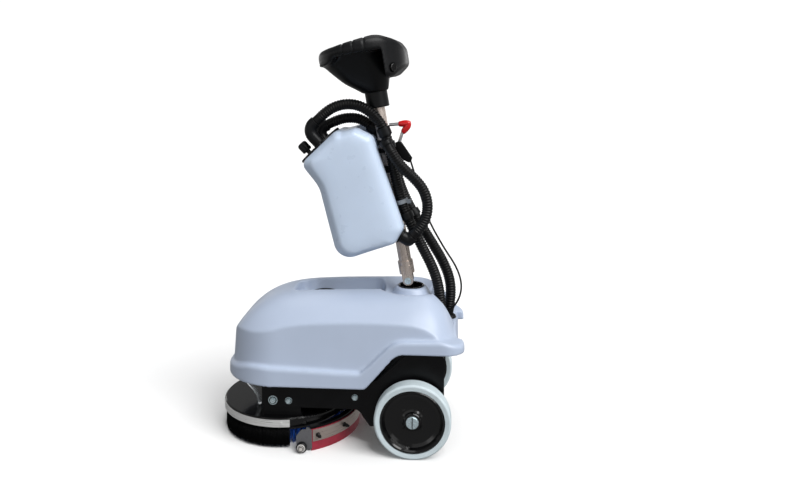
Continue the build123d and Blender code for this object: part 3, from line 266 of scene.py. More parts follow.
def ringed(name, middle, bands):
    """Face with rings of different colours about an axle along Y: bands are radius and colour."""
    material, shader = blank_material(name, bands[-1][1], roughness=0.34)
    place = add_node(material, "ShaderNodeTexCoord")
    flat = add_node(material, "ShaderNodeMapping", Location=(-middle[0], 0, -middle[1]), Scale=(1, 0, 1))
    join(material, place.outputs["Object"], flat.inputs["Vector"])
    distance = add_node(material, "ShaderNodeVectorMath")
    distance.operation = "LENGTH"
    join(material, flat.outputs["Vector"], distance.inputs[0])
    reach = spread(material, distance.outputs["Value"], 0.0, 1.0, 0.0, bands[-1][0])
    ramp = add_node(material, "ShaderNodeValToRGB")
    ramp.color_ramp.interpolation = "CONSTANT"
    stops = ramp.color_ramp.elements
    while len(stops) < len(bands):
        stops.new(1.0)
    inner = 0.0
    for stop, (radius, colour) in zip(stops, bands):
        stop.position = inner / bands[-1][0]
        stop.color = (*colour, 1)
        inner = radius
    join(material, reach, ramp.inputs["Fac"])
    join(material, ramp.outputs["Color"], shader.inputs["Base Color"])
    worn = noise(material, scale=60.0, detail=4.0)
    gloss(material, shader, worn, low=0.26, high=0.42)
    bump(material, shader, noise(material, scale=900.0), distance=0.0002, strength=0.3)
    shader.inputs["Specular IOR Level"].default_value = DARK_SHINE
    return material


def clear_plastic(name):
    """Clear soft tube with a slight haze."""
    material, shader = blank_material(name, colour=(0.86, 0.9, 0.93), roughness=0.14)
    shader.inputs["Transmission Weight"].default_value = 0.75
    shader.inputs["IOR"].default_value = 1.4
    bump(material, shader, noise(material, scale=90.0), distance=0.0002, strength=0.2)
    return material


STEEL = srgb(208, 195, 186)
ZINC = srgb(204, 222, 228)
BLACK = srgb(13, 14, 16)
ROLLER_MIDDLE = (AXLE_X - 0.283, 0.0142)
ROLLER_BANDS = ((0.0055, srgb(150, 146, 142)), (0.0078, srgb(20, 19, 19)), (0.0104, srgb(196, 194, 192)),
                (0.0140, BLACK))
PLATE_GREY = srgb(92, 92, 95)
PLATE_BANDS = ((0.0044, srgb(186, 182, 178)), (0.0058, srgb(24, 23, 23)), (0.0073, srgb(176, 173, 170)),
               (0.2, PLATE_GREY))
FINISHES = {
    "cover_grey": moulded("cover_grey", srgb(171, 183, 203), 0.33, grain=900.0, drift=0.025, edge=0.006),
    "tank_white": tank_plastic("tank_white", srgb(196, 211, 231)),
    "black_plastic": moulded("black_plastic", BLACK, 0.36, depth=0.0002, drift=0.15, shine=DARK_SHINE,
                             edge=0.003),
    "black_gloss": moulded("black_gloss", srgb(5, 5, 6), 0.16, drift=0.1, coat=0.6, shine=DARK_SHINE,
                           edge=0.002),
    "black_paint": painted("black_paint", srgb(4, 4, 5), 0.32),
    "grey_plastic": moulded("grey_plastic", srgb(128, 134, 140), 0.42, drift=0.08),
    "steel": brushed("steel", STEEL, 0.27, (1.0, 1.0, 0.02)),
    "zinc": plated("zinc", ZINC, 0.3),
    "chrome": brushed("chrome", srgb(208, 208, 210), 0.1, (1.0, 1.0, 0.1)),
    "tyre_grey": rubber("tyre_grey", srgb(196, 209, 214), 0.62, srgb(186, 198, 203)),
    "hose_black": rubber("hose_black", srgb(8, 8, 9), 0.36, srgb(14, 14, 15), shine=DARK_SHINE),
    "red_vinyl": moulded("red_vinyl", srgb(206, 16, 22), 0.24, grain=600.0, drift=0.08, coat=0.3),
    "blue_bristle": fibre("blue_bristle", srgb(10, 58, 150), srgb(30, 98, 200)),
    "black_bristle": fibre("black_bristle", srgb(3, 3, 4), srgb(9, 9, 10), shine=0.1),
    "blade_red": rubber("blade_red", srgb(150, 44, 60), 0.5, srgb(128, 36, 50)),
    "blade_dark": rubber("blade_dark", srgb(40, 34, 35), 0.55, srgb(52, 46, 46)),
    "clear_tube": clear_plastic("clear_tube"),
}
RINGED = ringed("roller_black", ROLLER_MIDDLE, ROLLER_BANDS)
NODE_FINISHES = {
    "skirt_band": brushed("band_steel", srgb(222, 222, 221), 0.34, (0.03, 0.03, 1.0), metallic=0.55),
    "clamp_strip": brushed("strip_steel", srgb(178, 165, 158), 0.32, (0.02, 0.02, 1.0), metallic=0.75),
    "end_plates": ringed("plate_grey", ROLLER_MIDDLE, PLATE_BANDS),
    "roller_left": RINGED,
    "roller_right": RINGED,
}


def dress(piece, slot):
    """Give a piece the material of a slot."""
    piece.data.materials.clear()
    piece.data.materials.append(FINISHES[slot])


# Mesh helpers
SHARP_ANGLE = math.radians(40)
TINY = 1e-9


def placed(name, data):
    """New object in the scene."""
    piece = bpy.data.objects.new(name, data)
    bpy.context.scene.collection.objects.link(piece)
    return piece


def mesh_piece(name, vertices, faces, slot):
    """New smooth-shaded mesh object in the scene with a slot's material."""
    mesh = bpy.data.meshes.new(name)
    mesh.from_pydata([tuple(v) for v in vertices], [], faces)
    mesh.polygons.foreach_set("use_smooth", [True] * len(mesh.polygons))
    piece = placed(name, mesh)
    dress(piece, slot)
    return piece


def smooth_line(corners, step):
    """Even steps along the NURBS spline that a route's points control."""
    curve = bpy.data.curves.new("route", "CURVE")
    curve.dimensions = "3D"
    curve.resolution_u = ROUTE_STEPS
    spline = curve.splines.new("NURBS")
    spline.points.add(len(corners) - 1)
    for point, corner in zip(spline.points, corners):
        point.co = (*corner, 1)
    spline.order_u = 3
    spline.use_endpoint_u = True
    holder = bpy.data.objects.new("route", curve)
    mesh = bpy.data.meshes.new_from_object(holder)
    dense = [vertex.co.copy() for vertex in mesh.vertices]
    bpy.data.objects.remove(holder)
    bpy.data.meshes.remove(mesh)
    bpy.data.curves.remove(curve)
    return even_steps(dense, step)


def even_steps(dense, step):
    """Points at even distances along a dense line, ends kept."""
    total = sum((b - a).length for a, b in zip(dense, dense[1:]))
    count = max(2, round(total / step))
    spacing = total / count
    points = [dense[0]]
    walked = 0.0
    for a, b in zip(dense, dense[1:]):
        length = (b - a).length
        while walked + length >= spacing * len(points) - TINY and len(points) < count:
            points.append(a.lerp(b, (spacing * len(points) - walked) / length))
        walked += length
    points.append(dense[-1])
    return points


def ring_frames(points):
    """Steady side vectors along a line of points, turned as little as possible."""
    frames = []
    side = None
    for i, point in enumerate(points):
        ahead = points[min(i + 1, len(points) - 1)] - points[max(i - 1, 0)]
        ahead.normalize()
        if side is None:
            side = ahead.orthogonal().normalized()
        side = (side - ahead * side.dot(ahead)).normalized()
        frames.append((point, side, ahead.cross(side)))
    return frames


def ring_faces(rings, sides):
    """Faces of a closed form made of rings of points: the walls, and a cap at each end."""
    faces = []
    for ring in range(rings - 1):
        for k in range(sides):
            a = ring * sides + k
            b = ring * sides + (k + 1) % sides
            faces.append((a, b, b + sides, a + sides))
    faces.append(tuple(reversed(range(sides))))
    faces.append(tuple(range((rings - 1) * sides, rings * sides)))
    return faces


def swept(name, points, radii, sides, slot):
    """Closed tube along points with a radius at each one."""
    vertices = []
    for (point, side, up), radius in zip(ring_frames(points), radii):
        for k in range(sides):
            angle = 2 * math.pi * k / sides
            vertices.append(point + (side * math.cos(angle) + up * math.sin(angle)) * radius)
    return mesh_piece(name, vertices, ring_faces(len(points), sides), slot)


# Hoses
RINGS_PER_RIB = 8
RIB_SHARPNESS = 0.75
CUFF_LENGTH = 0.017
CUFF_RIB = 0.35
TUBE_SIDES = 12


def ribbed_hose(name, corners):
    """Corrugated hose: rounded ribs at the real pitch with a plain cuff at each end."""
    step = HOSE_PITCH / RINGS_PER_RIB
    points = smooth_line(corners, step)
    last = len(points) - 1
    radii = []
    for i in range(len(points)):
        wave = 0.5 - 0.5 * math.cos(2 * math.pi * i / RINGS_PER_RIB)
        from_end = min(i, last - i) * step
        rib = wave ** RIB_SHARPNESS if from_end > CUFF_LENGTH else CUFF_RIB
        radii.append(HOSE_ROOT_R + (HOSE_R - HOSE_ROOT_R) * rib)
    return swept(name, points, radii, HOSE_SIDES, "hose_black")


def plain_tube(name, corners, radius, slot):
    """Smooth cable or tube."""
    points = smooth_line(corners, 2 * radius)
    return swept(name, points, [radius] * len(points), TUBE_SIDES, slot)


# Routes in the pole frame, from the lid or lever down to the body
VACUUM_ROUTE = [
    (-0.1684, -0.027, 0.4614), (-0.1435, -0.027, 0.4782), (-0.116, -0.029, 0.491), (-0.085, -0.032, 0.495),
    (-0.055, -0.035, 0.489), (-0.030, -0.038, 0.474), (-0.010, -0.040, 0.452), (0.005, -0.0405, 0.424),
    (0.012, -0.0395, 0.390), (0.015, -0.038, 0.350), (0.016, -0.037, 0.300), (0.018, -0.0357, 0.240),
    (0.024, -0.0345, 0.196), (0.033, -0.033, 0.160), (0.0553, -0.0285, 0.0819), (0.070, -0.0265, 0.036),
    (0.079, -0.025, -0.014), (0.0775, -0.024, -0.068), (0.0696, -0.024, -0.1136),
]
SUCTION_ROUTE = [
    (-0.1474, 0.027, 0.446), (-0.1224, 0.027, 0.4532), (-0.095, 0.030, 0.456), (-0.064, 0.032, 0.450),
    (-0.040, 0.0345, 0.433), (-0.016, 0.037, 0.403), (0.002, 0.038, 0.366), (0.011, 0.0375, 0.325),
    (0.015, 0.0365, 0.280), (0.021, 0.036, 0.236), (0.033, 0.035, 0.192), (0.050, 0.0325, 0.149),
    (0.0846, 0.0258, 0.0664), (0.100, 0.022, 0.026), (0.110, 0.019, -0.020), (0.106, 0.018, -0.068),
    (0.0893, 0.018, -0.117),
]
DRAIN_ROUTE = [
    (0.013, -0.074, 0.374), (0.024, -0.074, 0.341), (0.044, -0.073, 0.306), (0.068, -0.071, 0.276),
    (0.086, -0.069, 0.244), (0.091, -0.0675, 0.208), (0.082, -0.066, 0.173), (0.062, -0.065, 0.146),
    (0.036, -0.064, 0.127),
]
CABLE_ROUTE = [
    (0.0595, 0.0, 0.3178), (0.066, 0.0, 0.272), (0.070, 0.0, 0.228), (0.076, 0.0, 0.182), (0.084, 0.0, 0.138),
    (0.111, 0.0, 0.064), (0.131, 0.0, 0.020), (0.140, 0.0, -0.020), (0.136, 0.0, -0.056),
    (0.117, 0.0, -0.088), (0.090, 0.0, -0.106), (0.064, 0.0, -0.117),
]
VACUUM_ROOT = (0.079, -0.025, -0.020)
VACUUM_HELD = (0.043, -0.031, 0.125)
SUCTION_HELD = (0.068, 0.029, 0.106)
CABLE_HELD = (0.096, 0.0, 0.096)
SQUEEGEE_HOSE_ROUTE = [
    (DECK_X + 0.189, 0.0, 0.084), (DECK_X + 0.189, 0.0, 0.112), (DECK_X + 0.203, 0.0, 0.134),
    (DECK_X + 0.232, 0.0, 0.142), (DECK_X + 0.286, 0.0, 0.140), (AXLE_X - 0.012, 0.0, 0.139),
    (AXLE_X + 0.034, 0.001, 0.150), (AXLE_X + 0.062, 0.006, 0.186), (AXLE_X + 0.078, 0.013, 0.232),
    (AXLE_X + 0.086, 0.018, 0.284),
]
WATER_ROUTE = [
    (AXLE_X - 0.454, -0.090, 0.180), (AXLE_X - 0.454, -0.090, 0.149), (AXLE_X - 0.414, -0.088, 0.112),
    (AXLE_X - 0.414, -0.088, 0.082),
]


def bending_line(make, name, route, root, held, *node_names):
    """Hose or cable along a route given in the pole frame, shown in place of some pieces."""
    piece = make(name, [on_pole(p) for p in route])
    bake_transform(piece)
    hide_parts(*node_names)
    return piece


def lift_cable(name, corners):
    """Thin black cable of the squeegee lever."""
    return plain_tube(name, corners, CABLE_R, "hose_black")


def hoses():
    """All hoses, the cable and the clear water tube."""
    bending_line(ribbed_hose, "vacuum_hose_run", VACUUM_ROUTE, VACUUM_ROOT, VACUUM_HELD,
                 "vacuum_hose", "vacuum_hose_lower")
    bending_line(ribbed_hose, "suction_hose_run", SUCTION_ROUTE, SUCTION_ROUTE[-1], SUCTION_HELD,
                 "suction_hose", "suction_hose_lower")
    bending_line(lift_cable, "lift_cable_run", CABLE_ROUTE, CABLE_ROUTE[-1], CABLE_HELD,
                 "lift_cable", "lift_cable_lower")
    drain = ribbed_hose("drain_hose_run", [on_pole(p) for p in DRAIN_ROUTE])
    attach(drain, "pole")
    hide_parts("drain_hose")
    pickup = ribbed_hose("squeegee_hose_run", SQUEEGEE_HOSE_ROUTE)
    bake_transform(pickup)
    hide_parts("squeegee_hose")
    tube = plain_tube("water_tube_run", WATER_ROUTE, TUBE_R, "clear_tube")
    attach(tube, "chassis")
    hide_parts("water_tube")


# Recovery tank, in the pole frame. Corners: rearward, along the pole, radius
TANK_CORNERS = [
    (-0.2181, 0.3616, 0.020), (-0.1136, 0.4320, 0.020), (-0.096, 0.427, 0.008), (-0.058, 0.431, 0.022),
    (-0.020, 0.402, 0.022), (0.020, 0.153, 0.020), (-0.008, 0.118, 0.020), (-0.166, 0.091, 0.042),
    (-0.175, 0.206, 0.200), (-0.181, 0.294, 0.090),
]
TANK_AXIS = (Vector((-0.078, 0.165)), Vector((-0.105, 0.365)))
# Side wall levels: share of the way out from the axis, and half width there
TANK_FACET = ((1.0, 0.068), (0.988, 0.076), (0.965, 0.0812), (0.93, 0.0852), (0.87, 0.0914), (0.815, 0.0966),
              (0.78, 0.0993), (0.745, 0.1012), (0.69, 0.1026), (0.5, 0.1042), (0.25, 0.105))
TANK_CROWN = ((1.0, 0.068), (0.992, 0.0775), (0.975, 0.0845), (0.95, 0.0895), (0.91, 0.094), (0.86, 0.0975),
              (0.8, 0.1001), (0.73, 0.102), (0.64, 0.1036), (0.48, 0.1047), (0.25, 0.105))
# Channels: floor, half width and lower end
TANK_CHANNELS = ((-0.027, 0.024, 0.060), (-0.027, 0.056, 0.156), (-0.064, 0.056, 0.378))
CHANNEL_WALL = 0.0015
CORNER_STEPS = 10
RUN_STEPS = 8
FACET_START = 0.75
FACET_BLEND = 0.9


def rounded_outline(corners):
    """Points of a closed outline with an arc at each corner, in the same number at every corner and run."""
    arcs = []
    for i, (x, y, radius) in enumerate(corners):
        corner = Vector((x, y))
        before = (Vector(corners[i - 1][:2]) - corner).normalized()
        after = (Vector(corners[(i + 1) % len(corners)][:2]) - corner).normalized()
        half = before.angle(after) / 2
        start = corner + before * radius / math.tan(half)
        end = corner + after * radius / math.tan(half)
        middle = corner + (before + after).normalized() * radius / math.sin(half)
        first = start - middle
        turn = first.angle_signed(end - middle)
        turns = [Matrix.Rotation(-turn * k / CORNER_STEPS, 2) for k in range(CORNER_STEPS + 1)]
        arcs.append([middle + rotation @ first for rotation in turns])
    points = []
    for i, arc in enumerate(arcs):
        points += arc
        run_end = arcs[(i + 1) % len(arcs)][0]
        points += [arc[-1].lerp(run_end, k / RUN_STEPS) for k in range(1, RUN_STEPS)]
    return points


def side_point(point, level):
    """Point of the side wall: a faceted edge in front, above and below, a round one beside the pole."""
    low, high = TANK_AXIS
    along = high - low
    t = min(1.0, max(0.0, (point - low).dot(along) / along.length_squared))
    foot = low + along * t
    faceted = min(1.0, max(0.0, (FACET_START - (point - foot).normalized().x) / FACET_BLEND))
    (share, y), (facet_share, facet_y) = TANK_CROWN[level], TANK_FACET[level]
    share += (facet_share - share) * faceted
    return foot + (point - foot) * share, y + (facet_y - y) * faceted


def in_channel(point, y):
    """Take a point of the outline back to the floor of the pole and hose channels."""
    p, s = point
    for floor, half_width, low in TANK_CHANNELS:
        if abs(y) <= half_width and s > low:
            p = min(p, floor)
    return p, y, s


def tank_shell():
    """Blow-moulded tank: crowned sides with soft edges and the channels for pole and hoses."""
    outline = rounded_outline(TANK_CORNERS)
    half = [[side_point(point, level) for point in outline] for level in reversed(range(len(TANK_CROWN)))]
    for _, half_width, _ in (TANK_CHANNELS[2], TANK_CHANNELS[0]):
        for y in (half_width + CHANNEL_WALL, half_width):
            half.append([(point, y) for point in outline])
    levels = [[(point, -y) for point, y in level] for level in half] + half[::-1]
    vertices = [on_pole(in_channel(point, y)) for level in levels for point, y in level]
    faces = ring_faces(len(levels), len(outline))
    piece = mesh_piece("tank_shell", vertices, faces, "tank_white")
    piece.data.set_sharp_from_angle(angle=SHARP_ANGLE)
    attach(piece, "pole")
    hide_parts("recovery_tank")


# Softened mouldings
COVER_VOXEL = 0.0019
COVER_ROUNDS = 15
COVER_AXIS_X = (AXLE_X - 0.36, AXLE_X + 0.03)
COVER_AXIS_Z = 0.25
# Lines in side view: place behind the axle, and height
RIM_LINE = ((-0.60, 0.170), (-0.124, 0.170), (-0.044, 0.262), (0.20, 0.262))
RIM_CLEAR = 0.002
RIM_BLEND = 0.008
STEP_LINE = ((-0.60, 0.165), (-0.415, 0.222), (-0.150, 0.2126), (-0.135, 0.2166), (-0.115, 0.229),
             (-0.09, 0.254), (-0.065, 0.279), (-0.045, 0.291), (-0.03, 0.2955), (0.072, 0.297), (0.20, 0.262))
STEP_BLEND = 0.004
UPRIGHT_SHARE = 0.7
FLANGE_SWELL = 0.0035
KEPT_FACES = 0.3
RELAX_STEP = 0.6
HEAD_VOXEL = 0.002
HEAD_ROUNDS = 40
HEAD_SWELL = 0.011
# Edges on the head: where a soft ramp starts or ends, and its width
NECK_FRONT = (-0.12, 0.01)
NECK_BACK = (0.0, 0.04)
NECK_LOW = (0.512, 0.04)
NECK_HIGH = (0.606, 0.006)
HEAD_STIFF = 0.25
HEAD_SOFT_FROM = (-0.04, 0.04)
GRIP_Y = 0.125
GRIP_HEIGHT = 0.600
GROOVES = (-0.047, -0.020, 0.008)
GROOVE_DEPTH = 0.0024
GROOVE_REACH = 0.0018


def smooth_step(values):
    """Soft ramp from 0 to 1."""
    share = np.clip(values, 0.0, 1.0)
    return share * share * (3 - 2 * share)


def past(values, edge):
    """Soft ramp that starts at an edge and rises over its width."""
    start, width = edge
    return smooth_step((values - start) / width)


def short_of(values, edge):
    """Soft ramp that ends at an edge and falls over its width."""
    end, width = edge
    return smooth_step((end - values) / width)


def even_mesh(node_names, voxel):
    """Even mesh of the joined forms of some pieces, with its points, normals and edges."""
    vertices = []
    faces = []
    for node_name in node_names:
        source = nodes[node_name]
        first = len(vertices)
        vertices += [source.matrix_world @ vertex.co for vertex in source.data.vertices]
        faces += [tuple(first + index for index in polygon.vertices) for polygon in source.data.polygons]
    mesh = bpy.data.meshes.new("even")
    mesh.from_pydata([tuple(v) for v in vertices], [], faces)
    holder = placed("even", mesh)
    remesh = holder.modifiers.new("even", "REMESH")
    remesh.mode = "VOXEL"
    remesh.voxel_size = voxel
    result = bpy.data.meshes.new_from_object(holder.evaluated_get(bpy.context.evaluated_depsgraph_get()))
    bpy.data.objects.remove(holder)
    bpy.data.meshes.remove(mesh)
    count = len(result.vertices)
    points = np.empty(3 * count)
    result.vertices.foreach_get("co", points)
    normals = np.empty(3 * count)
    result.vertex_normals.foreach_get("vector", normals)
    edges = np.empty(2 * len(result.edges), dtype=int)
    result.edges.foreach_get("vertices", edges)
    return result, points.reshape(-1, 3), normals.reshape(-1, 3), edges.reshape(-1, 2)


def relaxed(points, edges, freedom, rounds):
    """Points drawn towards the middle of their neighbours, each by its own freedom."""
    count = len(points)
    ends = np.concatenate((edges[:, 0], edges[:, 1]))
    others = np.concatenate((edges[:, 1], edges[:, 0]))
    neighbours = np.bincount(ends, minlength=count)[:, None]
    for _ in range(rounds):
        sums = [np.bincount(ends, points[others, k], count) for k in range(3)]
        middle = np.stack(sums, axis=1) / neighbours
        points = points + RELAX_STEP * freedom[:, None] * (middle - points)
    return points


def moulded_piece(name, mesh, points, slot, body, *node_names):
    """Show a softened mesh in place of some pieces."""
    mesh.vertices.foreach_set("co", points.ravel())
    mesh.polygons.foreach_set("use_smooth", [True] * len(mesh.polygons))
    piece = placed(name, mesh)
    lighter = piece.modifiers.new("lighter", "DECIMATE")
    lighter.ratio = KEPT_FACES
    reduced = bpy.data.meshes.new_from_object(piece.evaluated_get(bpy.context.evaluated_depsgraph_get()))
    piece.modifiers.clear()
    piece.data = reduced
    bpy.data.meshes.remove(mesh)
    dress(piece, slot)
    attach(piece, body)
    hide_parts(*node_names)
    return piece


def line_height(line, x):
    """Height of a side-view line at places along the body."""
    return np.interp(x - AXLE_X, [place for place, _ in line], [height for _, height in line])


def cover_shell():
    """Body cover with its flange drawn out a little and all outer edges rounded, its rim left as it is."""
    mesh, points, normals, edges = even_mesh(["body_cover"], COVER_VOXEL)
    x, height = points[:, 0], points[:, 2]
    feet = np.zeros(points.shape)
    feet[:, 0] = np.clip(x, *COVER_AXIS_X)
    feet[:, 2] = COVER_AXIS_Z
    outer = np.einsum("ij,ij->i", normals, points - feet) > 0
    above_rim = past(height - line_height(RIM_LINE, x), (RIM_CLEAR, RIM_BLEND))
    below_step = short_of(height, (line_height(STEP_LINE, x), STEP_BLEND))
    across = normals * np.array([1.0, 1.0, 0.0])
    upright = np.linalg.norm(across, axis=1, keepdims=True)
    outward = np.where(upright > UPRIGHT_SHARE, across / np.maximum(upright, TINY), 0.0)
    points = points + outward * (FLANGE_SWELL * below_step * outer)[:, None]
    points = relaxed(points, edges, above_rim * outer, COVER_ROUNDS)
    moulded_piece("cover_shell", mesh, points, "cover_grey", "chassis", "body_cover")


def head_shell():
    """Handle head: rim and neck drawn together into one soft form with a fuller front, grip grooves kept."""
    mesh, points, normals, edges = even_mesh(["handle_upper", "handle_lower"], HEAD_VOXEL)
    rearward = np.array([math.cos(LEAN), 0.0, math.sin(LEAN)])
    up = np.array([-math.sin(LEAN), 0.0, math.cos(LEAN)])
    along = (points - np.array(PIVOT)) @ rearward
    height = (points - np.array(PIVOT)) @ up
    fuller = short_of(along, NECK_BACK) * past(along, NECK_FRONT)
    fuller = fuller * past(height, NECK_LOW) * short_of(height, NECK_HIGH)
    points = points - rearward * (HEAD_SWELL * fuller)[:, None]
    freedom = HEAD_STIFF + (1 - HEAD_STIFF) * short_of(along, HEAD_SOFT_FROM)
    points = relaxed(points, edges, freedom, HEAD_ROUNDS)
    nearest = np.min([np.abs(along - place) for place in GROOVES], axis=0)
    gripped = (np.abs(points[:, 1]) > GRIP_Y) & (height > GRIP_HEIGHT)
    cut = GROOVE_DEPTH * np.exp(-(nearest / GROOVE_REACH) ** 2) * gripped
    points = points - normals * cut[:, None]
    moulded_piece("head_shell", mesh, points, "black_plastic", "pole", "handle_upper", "handle_lower")


# Small hardware
LID_CENTRE = (-0.170, 0.394)
LID_SLOPE = math.radians(34)
KNOB_AT = (-0.033, -0.012)
KNOB_LOBES = 6
LOBE_DEPTH = 0.1
KNOB_SIDES = 72
# Levels of the knob: height, radius and share of the lobes
KNOB_LEVELS = ((0.0063, 0.0060, 0.0), (0.0140, 0.0060, 0.0), (0.0145, 0.0115, 0.4), (0.0170, 0.0128, 1.0),
               (0.0360, 0.0128, 1.0), (0.0405, 0.0112, 0.8), (0.0420, 0.0080, 0.3))
GRIP_PATH = ((0.0500, 0.0, 0.3910), (0.0590, 0.0, 0.4000), (0.0690, 0.0, 0.4090), (0.0730, 0.0, 0.4145),
             (0.0640, 0.0, 0.4160), (0.0520, 0.0, 0.4170), (0.0430, 0.0, 0.4178))
GRIP_RADII = (0.0070, 0.0085, 0.0105, 0.0110, 0.0100, 0.0082, 0.0068)
GRIP_SIDES = 20
GRIP_ROUNDING = 2
PLATE_FACE_Y = 0.150
# Painted shade rings about the bolt heads: place of the bolt, inner and outer radius
BOLT_SHADE_RINGS = ((DECK_X - 0.008, 0.122, 0.0073, 0.0098), (DECK_X + 0.033, 0.122, 0.0062, 0.0078),
         (AXLE_X - 0.150, 0.136, 0.0061, 0.0072))
SHADE_RING_TOP = 0.0024
SHADE_RING_SIDES = 32
# Painted shadow block in the slot of each wheel bolt: middle and size
SLOT_SHADOW_MIDDLE = (AXLE_X, 0.2039, 0.097)
SLOT_SHADOW_SIZE = (0.0023, 0.0010, 0.0300)
BOX_FACES = ((0, 1, 3, 2), (4, 6, 7, 5), (0, 4, 5, 1), (2, 3, 7, 6), (0, 2, 6, 4), (1, 5, 7, 3))


def lid_knob():
    """Lobed knob that clamps the lid."""
    along = Vector((math.cos(LID_SLOPE), 0.0, math.sin(LID_SLOPE)))
    out = Vector((-math.sin(LID_SLOPE), 0.0, math.cos(LID_SLOPE)))
    base = Vector((LID_CENTRE[0], KNOB_AT[1], LID_CENTRE[1])) + along * KNOB_AT[0]
    vertices = []
    for height, radius, lobed in KNOB_LEVELS:
        for k in range(KNOB_SIDES):
            angle = 2 * math.pi * k / KNOB_SIDES
            reach = radius * (1 + LOBE_DEPTH * lobed * math.cos(KNOB_LOBES * angle))
            side = along * math.cos(angle) + Vector((0, 1, 0)) * math.sin(angle)
            vertices.append(on_pole(base + out * height + side * reach))
    faces = ring_faces(len(KNOB_LEVELS), KNOB_SIDES)
    piece = mesh_piece("lid_knob_lobed", vertices, faces, "black_plastic")
    piece.data.set_sharp_from_angle(angle=SHARP_ANGLE)
    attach(piece, "clamp_knob")
    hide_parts("lid_knob")


def lever_grip():
    """Dipped red grip, thick at its bend."""
    points = [on_pole(point) for point in GRIP_PATH]
    piece = swept("lever_grip_dipped", points, GRIP_RADII, GRIP_SIDES, "red_vinyl")
    rounding = piece.modifiers.new("round", "SUBSURF")
    rounding.levels = GRIP_ROUNDING
    rounding.render_levels = GRIP_ROUNDING
    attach(piece, "lever")
    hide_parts("lever_grip")


def add_shade_ring(vertices, faces, side, x, z, inner, outer):
    """Flat dark ring about a bolt on one of the side plates: painted shade in the gap about the bolt head."""
    first = len(vertices)
    for k in range(SHADE_RING_SIDES):
        angle = 2 * math.pi * k / SHADE_RING_SIDES
        out = Vector((math.cos(angle), 0, math.sin(angle)))
        for radius, depth in ((inner, 0.0), (outer, 0.0), (outer, SHADE_RING_TOP), (inner, SHADE_RING_TOP)):
            vertices.append(Vector((x, side * (PLATE_FACE_Y + depth), z)) + out * radius)
    for k in range(SHADE_RING_SIDES):
        for j in range(4):
            a = first + 4 * k + j
            b = first + 4 * k + (j + 1) % 4
            c = first + 4 * ((k + 1) % SHADE_RING_SIDES)
            faces.append((a, b, c + (j + 1) % 4, c + j)[::side])


def add_slot_shadow(vertices, faces, side):
    """Thin dark block in the slot of a wheel bolt: painted shadow in the slot."""
    first = len(vertices)
    for corner in itertools.product((-0.5, 0.5), repeat=3):
        x, y, z = (m + c * s for m, c, s in zip(SLOT_SHADOW_MIDDLE, corner, SLOT_SHADOW_SIZE))
        vertices.append(Vector((x, side * y, z)))
    for corners in BOX_FACES:
        faces.append(tuple(first + k for k in corners)[::side])


def painted_bolt_shade():
    """Painted shade: black rings about the bolt heads, and a painted shadow block in the slot of each wheel
    bolt.
    """
    vertices = []
    faces = []
    for side in (-1, 1):
        for shade_ring in BOLT_SHADE_RINGS:
            add_shade_ring(vertices, faces, side, *shade_ring)
        add_slot_shadow(vertices, faces, side)
    # Painted shade: black rings about the bolt heads and dark blocks in the wheel bolt slots
    piece = mesh_piece("painted_bolt_shade", vertices, faces, "black_plastic")
    piece.data.set_sharp_from_angle(angle=SHARP_ANGLE)
    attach(piece, "chassis")


# Bristles
STRAND_FULL = 0.6
STRAND_TIP = 0.6
SKIRT_R = 0.164
SKIRT_LOW = 0.004
SKIRT_HIGH = 0.059
SKIRT_START = math.radians(77)
SKIRT_SPAN = math.radians(206)
SKIRT_TUFTS = 420
SKIRT_STRANDS = 7
SKIRT_STRAND_R = 0.00035
SKIRT_DEPTH = 0.003
SKIRT_SHIFT = 0.0007
SKIRT_SPLAY = ((-0.001, 0.003), (-0.0015, 0.0015))
SKIRT_UNEVEN = 0.0025
SKIRT_SEED = 4
# Backing and core of the skirt: offsets from its radius, then heights
SKIRT_BACKING = (-0.0035, 0.0035, SKIRT_HIGH - 0.001, 0.077)
SKIRT_CORE = (-0.003, -0.0012, SKIRT_LOW + 0.004, SKIRT_HIGH)
HOOP_STEPS = 96
BRUSH_LOW = 0.040
TUFT_RINGS = ((0.064, 28), (0.088, 40), (0.112, 54), (0.136, 64))
TUFT_STRANDS = 15
TUFT_STRAND_R = 0.00055
TUFT_R = 0.0042
TUFT_ROOT = 0.7
TUFT_TIP = 1.5
TUFT_LEAN = 0.002
TUFT_UNEVEN = 0.0012
TUFT_SEED = 9


def add_strand(vertices, faces, root, tip, radius):
    """One thin three-sided strand, a little finer at its tip."""
    first = len(vertices)
    for place, size in ((root, radius), (root.lerp(tip, STRAND_FULL), radius), (tip, STRAND_TIP * radius)):
        for k in range(3):
            angle = 2 * math.pi * k / 3
            vertices.append(place + Vector((math.cos(angle), math.sin(angle), 0)) * size)
    for level in range(2):
        for k in range(3):
            a = first + 3 * level + k
            b = first + 3 * level + (k + 1) % 3
            faces.append((a, a + 3, b + 3, b))
    faces.append((first, first + 1, first + 2))
    faces.append((first + 8, first + 7, first + 6))


def add_hoop(vertices, faces, inner, outer, low, high):
    """Closed strip that follows the skirt: offsets from its radius, and heights."""
    first = len(vertices)
    for i in range(HOOP_STEPS + 1):
        angle = SKIRT_START + SKIRT_SPAN * i / HOOP_STEPS
        for offset, z in ((inner, low), (outer, low), (outer, high), (inner, high)):
            radius = SKIRT_R + offset
            vertices.append(Vector((DECK_X + radius * math.cos(angle), radius * math.sin(angle), z)))
    for i in range(HOOP_STEPS):
        for k in range(4):
            a = first + 4 * i + k
            b = first + 4 * i + (k + 1) % 4
            faces.append((a, a + 4, b + 4, b))
    faces.append((first, first + 1, first + 2, first + 3))
    last = first + 4 * HOOP_STEPS
    faces.append((last + 3, last + 2, last + 1, last))


